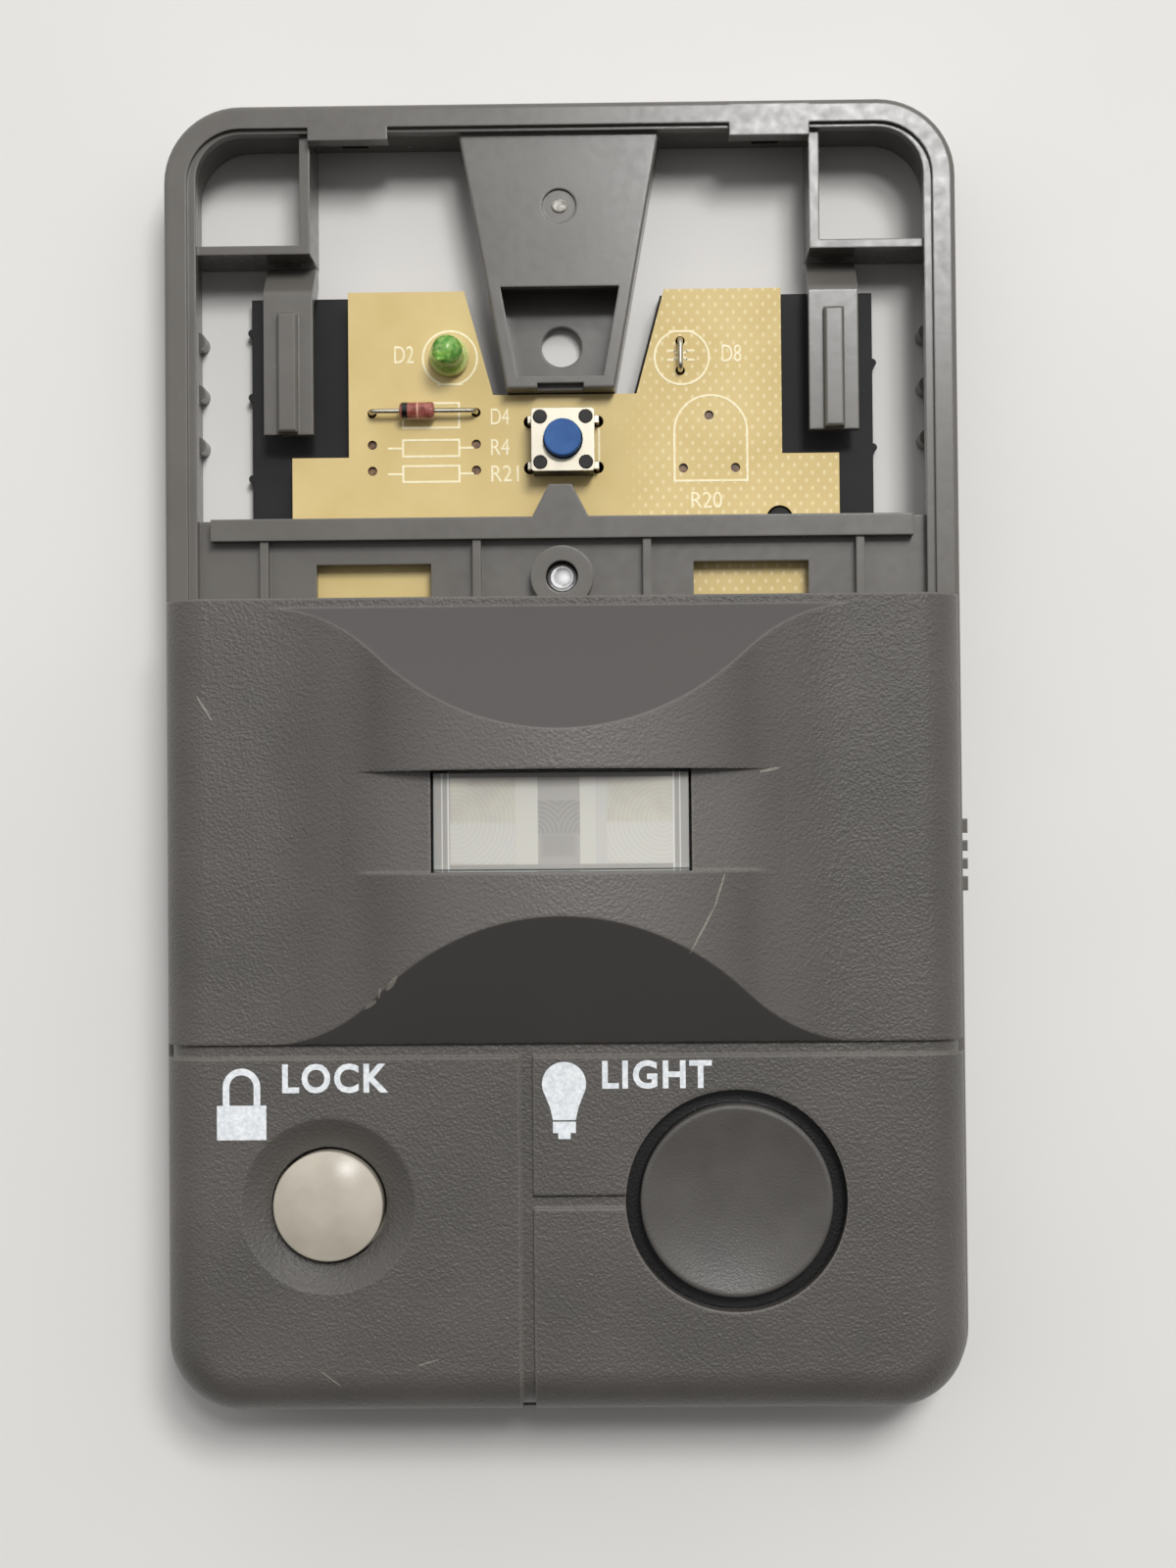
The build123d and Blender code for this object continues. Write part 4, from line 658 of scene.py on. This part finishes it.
# %% Material for each solid
finishes = {
    smooth_abs: ("housing", "left_spring_arm", "right_spring_arm", "mode_slider"),
    grained_abs: ("front_cover",),
    button_abs: ("light_button",),
    beige_abs: ("lock_button",),
    black_abs: ("rear_cover", "lens_clip"),
    thermoset: ("bar_switch_body", "lock_switch_body", "light_switch_body", "slide_switch_body",
                "slide_actuator", "lock_switch_plunger", "light_switch_plunger", "controller_chip"),
    blue_nylon: ("bar_switch_plunger",),
    ceramic_lacquer: ("disc_capacitors",),
    switch_tin: ("bar_switch_plate", "lock_switch_plate", "light_switch_plate"),
    lead_tin: ("bar_switch_legs", "lock_switch_legs", "light_switch_legs", "led_leads", "diode_leads",
               "wire_jumper", "chip_pins", "resistor_leads"),
    zinc_steel: ("case_screws", "rear_screws", "centre_screw", "terminal_screws"),
    brass: ("terminal_bushes", "terminal_plates"),
    nickel: ("sensor_can", "sensor_header"),
    laminate: ("circuit_board",),
    lens_sheet: ("fresnel_lens",),
    green_epoxy: ("status_led",),
    bead_glass: ("diode",),
    filter_glass: ("sensor_filter",),
    lacquer: ("resistors",),
    sleeve: ("capacitor",),
}
dressed = set()
for material, names in finishes.items():
    for name in names:
        mesh = nodes[name].data
        mesh.materials.clear()
        mesh.materials.append(material)
        dressed.add(name)
print("dressed", len(dressed), "solids; left:", sorted(set(nodes) - dressed))

# %% [markdown]
# ## Tools for thin printed pieces
# Ink stands a few hundredths of a millimetre proud of what it is printed on. Each mark is
# therefore a thin sheet: a flat outline, given its thickness by Solidify. These helpers keep
# the steps short. Everything is deselected first, because an operator acts on whatever is
# selected, and the frame arrives selected.

# %% Modelling helpers
INK = 0.03 * MM


def deselect():
    if bpy.context.object and bpy.context.object.mode != "OBJECT":
        bpy.ops.object.mode_set(mode="OBJECT")
    bpy.ops.object.select_all(action="DESELECT")


def pick_faces(piece, wanted):
    """In edit mode, select the faces for which wanted(face centre, normal) is true."""
    bpy.ops.object.mode_set(mode="OBJECT")
    for vertex in piece.data.vertices:
        vertex.select = False
    for edge in piece.data.edges:
        edge.select = False
    for face in piece.data.polygons:
        face.select = wanted(face.center, face.normal)
    bpy.ops.object.mode_set(mode="EDIT")
    bpy.ops.mesh.select_mode(type="FACE")


def pick_edges(piece, wanted):
    """In edit mode, select the edges whose two ends both satisfy wanted(place)."""
    bpy.ops.object.mode_set(mode="OBJECT")
    vertices = piece.data.vertices
    for face in piece.data.polygons:
        face.select = False
    for vertex in vertices:
        vertex.select = False
    for edge in piece.data.edges:
        edge.select = all(wanted(vertices[i].co) for i in edge.vertices)
    bpy.ops.object.mode_set(mode="EDIT")
    bpy.ops.mesh.select_mode(type="EDGE")


def rectangle(left, right, low, high, z):
    """A flat rectangle; all in millimetres but z, which is in metres."""
    deselect()
    bpy.ops.mesh.primitive_plane_add(size=1, location=((left + right) / 2 * MM, (low + high) / 2 * MM, z))
    piece = bpy.context.object
    piece.scale = ((right - left) * MM, (high - low) * MM, 1)
    bpy.ops.object.transform_apply(location=True, rotation=True, scale=True)
    return piece


def outline(piece, width):
    """Turn a flat face into its own border of the given width, in millimetres."""
    bpy.ops.object.mode_set(mode="EDIT")
    bpy.ops.mesh.select_all(action="SELECT")
    bpy.ops.mesh.inset(thickness=width * MM)
    bpy.ops.mesh.delete(type="FACE")
    bpy.ops.object.mode_set(mode="OBJECT")
    return piece


def disc(x, y, radius, z, points=64):
    deselect()
    bpy.ops.mesh.primitive_circle_add(
        vertices=points, radius=radius * MM, fill_type="NGON", location=(x * MM, y * MM, z),
    )
    bpy.ops.object.transform_apply(location=True, rotation=True, scale=True)
    return bpy.context.object


def cut_below(piece, y):
    """Cut a flat piece along a line of constant y, in millimetres, and drop what is below."""
    bpy.ops.object.mode_set(mode="EDIT")
    bpy.ops.mesh.select_all(action="SELECT")
    bpy.ops.mesh.bisect(plane_co=(0, y * MM, 0), plane_no=(0, 1, 0), clear_inner=True,
                        threshold=0.001 * MM)
    bpy.ops.object.mode_set(mode="OBJECT")
    return piece


def pull_down(piece, from_y, to_y, narrow=1.0, about=0.0):
    """Extrude the edges at from_y down to to_y, and draw them in towards x = about."""
    pick_edges(piece, lambda place: abs(place.y - from_y * MM) < 0.01 * MM)
    bpy.ops.mesh.extrude_region_move(TRANSFORM_OT_translate={"value": (0, (to_y - from_y) * MM, 0)})
    if narrow != 1.0:
        bpy.ops.transform.resize(value=(narrow, 1, 1), center_override=(about * MM, 0, 0))
    bpy.ops.object.mode_set(mode="OBJECT")
    return piece


def join(pieces):
    deselect()
    for piece in pieces:
        piece.select_set(True)
    bpy.context.view_layer.objects.active = pieces[0]
    if len(pieces) > 1:
        bpy.ops.object.join()
    return bpy.context.object


def give_ink(piece, name, material, thickness=INK):
    """Thicken a flat mark upwards, name it, and give it its ink."""
    deselect()
    piece.select_set(True)
    bpy.context.view_layer.objects.active = piece
    bpy.ops.object.mode_set(mode="EDIT")
    bpy.ops.mesh.select_all(action="SELECT")
    bpy.ops.mesh.remove_doubles(threshold=0.002 * MM)
    pick_faces(piece, lambda centre, normal: normal.z < 0)
    bpy.ops.mesh.flip_normals()
    bpy.ops.object.mode_set(mode="OBJECT")
    solid = piece.modifiers.new("thickness", "SOLIDIFY")
    solid.thickness = thickness
    solid.offset = 1
    bpy.ops.object.modifier_apply(modifier="thickness")
    piece.name = name
    piece.data.materials.clear()
    piece.data.materials.append(material)
    return piece


def word(text, left, right, low, high, z, weight=0.0, spread=1.0):
    """Flat lettering that just fills a box, in millimetres."""
    deselect()
    bpy.ops.object.text_add()
    letters = bpy.context.object
    letters.data.body = text
    letters.data.resolution_u = 4
    letters.data.offset = weight
    letters.data.space_character = spread
    bpy.ops.object.convert(target="MESH")
    letters = bpy.context.object
    bpy.ops.object.shade_flat()
    xs = [vertex.co.x for vertex in letters.data.vertices]
    ys = [vertex.co.y for vertex in letters.data.vertices]
    across = (right - left) * MM / (max(xs) - min(xs))
    tall = (high - low) * MM / (max(ys) - min(ys))
    letters.scale = (across, tall, 1)
    letters.location = (left * MM - min(xs) * across, low * MM - min(ys) * tall, z)
    bpy.ops.object.transform_apply(location=True, rotation=True, scale=True)
    return letters


print("ink is", INK / MM, "mm thick")

# %% [markdown]
# ## White print on the cover
# LOCK and LIGHT, a padlock and a bulb are pad-printed in white. The ink lies over the grain
# and takes some of it on, so it looks a little speckled. The padlock's shackle is a ring, cut
# in half and drawn down into two legs. The bulb is a disc cut near its foot, whose cut edge
# is drawn down and in, as a glass-blower would do.

# %% Inks
def ink(name, low, high):
    material, shader, place = start_material(name, roughness=0.5, ior=1.5)
    link(material, mottle(material, place, low, high, 0.35, 4.0), shader, "Base Color")
    speckle = add_node(material, "TexVoronoi", {
        "Vector": place, "Scale": per_mm(0.4),
    }, feature="SMOOTH_F1")
    bump = add_node(material, "Bump", {
        "Strength": 0.3, "Distance": 0.03 * MM, "Height": speckle.outputs["Distance"],
    })
    link(material, bump.outputs[0], shader, "Normal")
    return material


white_ink = ink("pad_print_ink_white", "#D3D8DC", "#F0F2F2")
cream_ink = ink("screen_print_ink_cream", "#F0E3B6", "#F9F0D0")

# %% Marks by the lock button
panel_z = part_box("front_cover")[1].z - 9.3 * MM
shackle = outline(disc(-30.1, -31.3, 1.75, panel_z), 0.62)
cut_below(shackle, -31.3)
pull_down(shackle, -31.3, -33.0)
lock_body = rectangle(-32.4, -27.8, -36.2, -33.0, panel_z)
padlock = give_ink(join([lock_body, shackle]), "padlock_print", white_ink)
lock_word = word("LOCK", -26.3, -16.4, -31.9, -29.15, panel_z, 0.03, 1.14)
lock_word = give_ink(lock_word, "lock_word_print", white_ink)
print("padlock has", len(padlock.data.polygons), "faces")

# %% Marks by the light button
bulb = disc(-0.05, -31.2, 2.05, panel_z)
cut_below(bulb, -32.2)
pull_down(bulb, -32.2, -33.4, 0.74, -0.05)
pull_down(bulb, -33.4, -34.55, 0.80, -0.05)
cap = rectangle(-1.12, 1.02, -35.75, -34.7, panel_z)
tip = rectangle(-0.62, 0.52, -36.3, -35.75, panel_z)
bulb = give_ink(join([bulb, cap, tip]), "bulb_print", white_ink)
light_word = word("LIGHT", 3.5, 13.7, -31.7, -29.05, panel_z, 0.03, 1.14)
light_word = give_ink(light_word, "light_word_print", white_ink)
for mark in (padlock, lock_word, bulb, light_word):
    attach(mark, "housing_body")
print("bulb has", len(bulb.data.polygons), "faces")

# %% [markdown]
# ## Legend on the board
# The cream legend tells the person who fits the parts what goes where: boxes for diodes and
# resistors that lie flat, a circle with a flat for each light, and a D shape for a trimmer.
# Each has its letter and number beside it.

# %% Board legend: outlines
board_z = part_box("circuit_board")[1].z
LINE = 0.2
strokes = []
strokes.append(outline(rectangle(-15.6, -9.9, 31.75, 34.35, board_z), LINE))
for low, high in ((28.95, 30.75), (26.45, 28.2)):
    strokes.append(outline(rectangle(-15.6, -9.9, low, high, board_z), LINE))
    middle = (low + high) / 2
    strokes.append(rectangle(-17.0, -15.6, middle - LINE / 2, middle + LINE / 2, board_z))
    strokes.append(rectangle(-9.9, -8.6, middle - LINE / 2, middle + LINE / 2, board_z))
strokes.append(rectangle(3.55, 3.75, 28.4, 31.6, board_z))


def turned(piece, degrees, x, y):
    """Turn a flat piece on the board about a place on it, in millimetres."""
    bpy.ops.object.mode_set(mode="EDIT")
    bpy.ops.mesh.select_all(action="SELECT")
    bpy.ops.transform.rotate(value=math.radians(degrees), orient_axis="Z",
                             center_override=(x * MM, y * MM, board_z))
    bpy.ops.object.mode_set(mode="OBJECT")
    return piece


def light_circle(x, y, radius, turn):
    """Circle with a flat, as seen along the axis of a round light; the flat is turned in degrees."""
    flat_at = y - 2.45
    ring = outline(disc(x, y, radius, board_z), LINE)
    cut_below(ring, flat_at)
    half = math.sqrt(radius ** 2 - (y - flat_at) ** 2)
    circle = join([ring, rectangle(x - half, x + half, flat_at - LINE, flat_at, board_z)])
    return turned(circle, turn, x, y)


strokes += [light_circle(-10.85, 38.65, 2.75, 0), light_circle(11.8, 38.5, 2.75, 180)]
spark_x, spark_y = 11.7, 38.7  # the small sign for light, between the holes of the jumper
for side in (-1, 1):
    near, out = spark_x + side * 0.5, spark_x + side * 1.35
    for y in (spark_y - 0.45, spark_y + 0.45):
        strokes.append(rectangle(min(near, out), max(near, out), y - LINE / 2, y + LINE / 2, board_z))
    ray = rectangle(spark_x - 0.75, spark_x + 0.75, spark_y - LINE / 2, spark_y + LINE / 2, board_z)
    strokes.append(turned(ray, side * 35, spark_x, spark_y))
trimmer = outline(disc(14.55, 31.2, 3.65, board_z), LINE)
cut_below(trimmer, 31.2)
pull_down(trimmer, 31.2, 26.5)
strokes += [trimmer, rectangle(10.9, 18.2, 26.5 - LINE, 26.5, board_z)]
legend = give_ink(join(strokes), "board_legend_outlines", cream_ink)
print("legend outlines:", len(legend.data.polygons), "faces")

# %% Board legend: letters
labels = (
    ("D2", -16.3, -14.4, 38.2, 39.9), ("D4", -6.9, -5.1, 32.1, 33.7), ("R4", -6.9, -5.1, 29.1, 30.7),
    ("R21", -6.9, -4.2, 26.5, 28.1), ("R20", 12.6, 15.6, 23.7, 25.3), ("D8", 15.7, 17.6, 38.0, 39.7),
)
letters = [word(text, *box, board_z) for text, *box in labels]
lettering = give_ink(join(letters), "board_legend_letters", cream_ink)
for mark in (legend, lettering):
    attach(mark, "housing_body")
print("legend letters:", len(lettering.data.polygons), "faces")

# %% [markdown]
# ## Empty holes
# Holes that hold no lead are drilled all the same. Solder runs over them from the far side, so
# a brown skin of flux with a pale heart closes each one a little way down.

# %% Flux in the empty holes
flux, shader, place = start_material("solder_flux_brown", roughness=0.3, ior=1.5)
link(flux, mottle(flux, place, "#4A2C1A", "#8A6B4A", 0.45), shader, "Base Color")
empty = [(x, y) for y in (30.2, 27.65) for x in (-18.5, -8.34)]
empty += [(11.86, 27.65), (16.94, 27.65), (14.4, 32.8)]
skins = join([disc(x, y, 0.43, board_z - 0.5 * MM, 24) for x, y in empty])
skins = give_ink(skins, "flux_skins", flux, 0.1 * MM)
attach(skins, "housing_body")
print("closed", len(empty), "holes")

# %% [markdown]
# ## The moulding's gate mark
# Plastic flowed into the mould at the middle of the tab, and the runner was snapped off
# there. What is left is a small torn pip in a shallow dish. It is a flattened sphere, cut off
# at its foot, with its top pushed in.

# %% Gate pip
tab_z = 7.2 * MM
deselect()
bpy.ops.mesh.primitive_uv_sphere_add(segments=24, ring_count=14, radius=0.8 * MM,
                                     location=(0.03 * MM, 52.85 * MM, tab_z))
pip = bpy.context.object
pip.scale = (1.0, 0.85, 0.55)
bpy.ops.object.transform_apply(location=True, rotation=True, scale=True)
bpy.ops.object.mode_set(mode="EDIT")
bpy.ops.mesh.select_all(action="SELECT")
bpy.ops.mesh.bisect(plane_co=(0, 0, tab_z - 0.02 * MM), plane_no=(0, 0, 1), clear_inner=True,
                    use_fill=True, threshold=0.001 * MM)
pick_faces(pip, lambda centre, normal: normal.z > 0.9 and centre.z > tab_z)
bpy.ops.transform.translate(value=(0.08 * MM, -0.06 * MM, -0.16 * MM))
bpy.ops.mesh.select_all(action="SELECT")
bpy.ops.mesh.normals_make_consistent(inside=False)
bpy.ops.object.mode_set(mode="OBJECT")
bpy.ops.object.shade_smooth_by_angle(angle=math.radians(50))
pip.name = "gate_pip"
gate_abs, shader, place = start_material("abs_torn_gloss", roughness=0.16, ior=1.53)
link(gate_abs, mottle(gate_abs, place, "#8F8B84", "#C9C5BD", 0.5), shader, "Base Color")
pip.data.materials.append(gate_abs)
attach(pip, "housing_body")
print("pip is", round(pip.dimensions.x / MM, 2), "mm wide")

# %% [markdown]
# ## Step along the lens
# Along its lower edge the lens has a small step that closes the gap to the cover and keeps dust
# out. It follows the bend of the lens, so it starts as a copy of the lens's own upper face,
# which is moved down and outwards, and the Solidify modifier gives it a thickness.

# %% Lens step
RIM = 1.45 * MM  # from the outside of the lens's flange to its raised middle
lens_low, lens_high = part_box("fresnel_lens")
deselect()
step = bpy.data.objects.new("lens_step", nodes["fresnel_lens"].data.copy())
bpy.context.scene.collection.objects.link(step)
step.select_set(True)
bpy.context.view_layer.objects.active = step
pick_faces(step, lambda centre, normal: not (
    normal.z > 0.5 and abs(centre.x) < lens_high.x - RIM
    and lens_low.y + RIM < centre.y < lens_high.y - RIM))
bpy.ops.mesh.delete(type="FACE")
bpy.ops.mesh.select_all(action="SELECT")
bpy.ops.mesh.remove_doubles(threshold=0.001 * MM)
bpy.ops.transform.translate(value=(0, -0.24 * MM, -0.2 * MM))
bpy.ops.object.mode_set(mode="OBJECT")
wall = step.modifiers.new("wall", "SOLIDIFY")
wall.thickness = 0.3 * MM
wall.offset = -1
bpy.ops.object.modifier_apply(modifier="wall")
bpy.ops.object.shade_smooth_by_angle(angle=math.radians(30))
step.data.materials.clear()
step.data.materials.append(lens_sheet)
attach(step, "housing_body")
print("lens step:", len(step.data.polygons), "faces")

# %% [markdown]
# ## End of the screw's thread
# The screw in the round boss comes up from the back, so only its end shows: the last two turns
# of a rolled thread, and the sheared tip. The turns are drawn up from one circle, out and in
# again, and each crest is tilted a little, because a thread climbs as it goes round.

# %% Thread and tip
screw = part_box("centre_screw")
screw_x, screw_y = 0.0, (screw[0].y + screw[1].y) / 2
start_z = screw[1].z - 0.35 * MM
deselect()
bpy.ops.mesh.primitive_circle_add(vertices=48, radius=1.30 * MM, fill_type="NGON",
                                  location=(screw_x, screw_y, start_z))
thread = bpy.context.object
bpy.ops.object.transform_apply(location=True, rotation=True, scale=True)
bpy.ops.object.mode_set(mode="EDIT")
bpy.ops.mesh.select_all(action="SELECT")
radius, level = 1.30, start_z
for next_radius, climb, tilt in (
    (1.46, 0.12, 4), (1.33, 0.08, -2), (1.29, 0.08, 0), (1.46, 0.12, 5), (1.25, 0.08, -3),
    (1.20, 0.06, 0), (1.38, 0.10, 5), (1.16, 0.08, -3), (1.10, 0.08, 0),
):
    bpy.ops.mesh.extrude_region_move(TRANSFORM_OT_translate={"value": (0, 0, climb * MM)})
    level += climb * MM
    share = next_radius / radius
    bpy.ops.transform.resize(value=(share, share, 1), center_override=(screw_x, screw_y, level))
    bpy.ops.transform.rotate(value=math.radians(tilt), orient_axis="X",
                             center_override=(screw_x, screw_y, level))
    radius = next_radius
bpy.ops.mesh.inset(thickness=0.2 * MM)
bpy.ops.transform.translate(value=(0.05 * MM, 0.03 * MM, -0.07 * MM))
bpy.ops.mesh.inset(thickness=0.2 * MM)
bpy.ops.transform.translate(value=(0, 0, 0.09 * MM))
bpy.ops.mesh.select_all(action="SELECT")
bpy.ops.mesh.normals_make_consistent(inside=False)
bpy.ops.object.mode_set(mode="OBJECT")
bpy.ops.object.shade_smooth_by_angle(angle=math.radians(40))
thread.name = "screw_thread"
bare_zinc = plated("steel_zinc_rolled_thread", "#F8F8F6", "#D6D7D7", 0.52, 0.25)
thread.data.materials.append(bare_zinc)
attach(thread, "housing_body")
print("thread ends at", round(max(vertex.co.z for vertex in thread.data.vertices) / MM, 2), "mm")

# %% [markdown]
# ## Inside the light
# Two steel posts stand in the epoxy. The thicker one, the anvil, ends in a small cup that
# holds the chip, and the thin one carries a hair-fine wire to it. Seen from above through the
# dome they make the bright and dark flecks in the green.

# %% Frame inside the light
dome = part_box("status_led")
led_x = (dome[0].x + dome[1].x) / 2
led_y = (dome[0].y + dome[1].y) / 2
foot_z = dome[0].z + 0.6 * MM


def post(width, depth, height, x, top_scale):
    """A flat post that flares to its top."""
    deselect()
    bpy.ops.mesh.primitive_cube_add(size=1, location=(led_x + x * MM, led_y, foot_z + height * MM / 2))
    piece = bpy.context.object
    piece.scale = (width * MM, depth * MM, height * MM)
    bpy.ops.object.transform_apply(location=True, rotation=True, scale=True)
    pick_faces(piece, lambda centre, normal: normal.z > 0.9)
    bpy.ops.transform.resize(value=(top_scale, 1, 1), center_override=(led_x + x * MM, led_y, 0))
    return piece


anvil = post(0.5, 0.45, 2.4, -0.42, 2.0)
bpy.ops.mesh.inset(thickness=0.09 * MM)
bpy.ops.mesh.extrude_region_move(TRANSFORM_OT_translate={"value": (0, 0, -0.25 * MM)})
bpy.ops.transform.resize(value=(0.6, 0.6, 1), center_override=(led_x - 0.42 * MM, led_y, 0))
thin_post = post(0.35, 0.35, 2.2, 0.62, 1.4)
led_frame = join([anvil, thin_post])
bevel = led_frame.modifiers.new("edges", "BEVEL")
bevel.width = 0.03 * MM
bevel.segments = 2
bpy.ops.object.modifier_apply(modifier="edges")
led_frame.name = "led_frame"
led_frame.data.materials.append(lead_tin)
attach(led_frame, "housing_body")
print("light's frame:", len(led_frame.data.polygons), "faces")

# %% [markdown]
# ## Floor
# The panel lies on a plain pale sheet, wide enough to fill the view from every side.

# %% Floor
deselect()
bpy.ops.mesh.primitive_plane_add(size=6, location=(0, 0, -0.2 * MM))
floor = bpy.context.object
floor.name = "floor"
pale_sheet, shader, place = start_material("matt_white_sheet", roughness=0.7)
link(pale_sheet, mottle(pale_sheet, place, "#DEDCD8", "#E2E0DC", 60), shader, "Base Color")
floor.data.materials.append(pale_sheet)
print("floor ready")

# %% Finish
deselect()
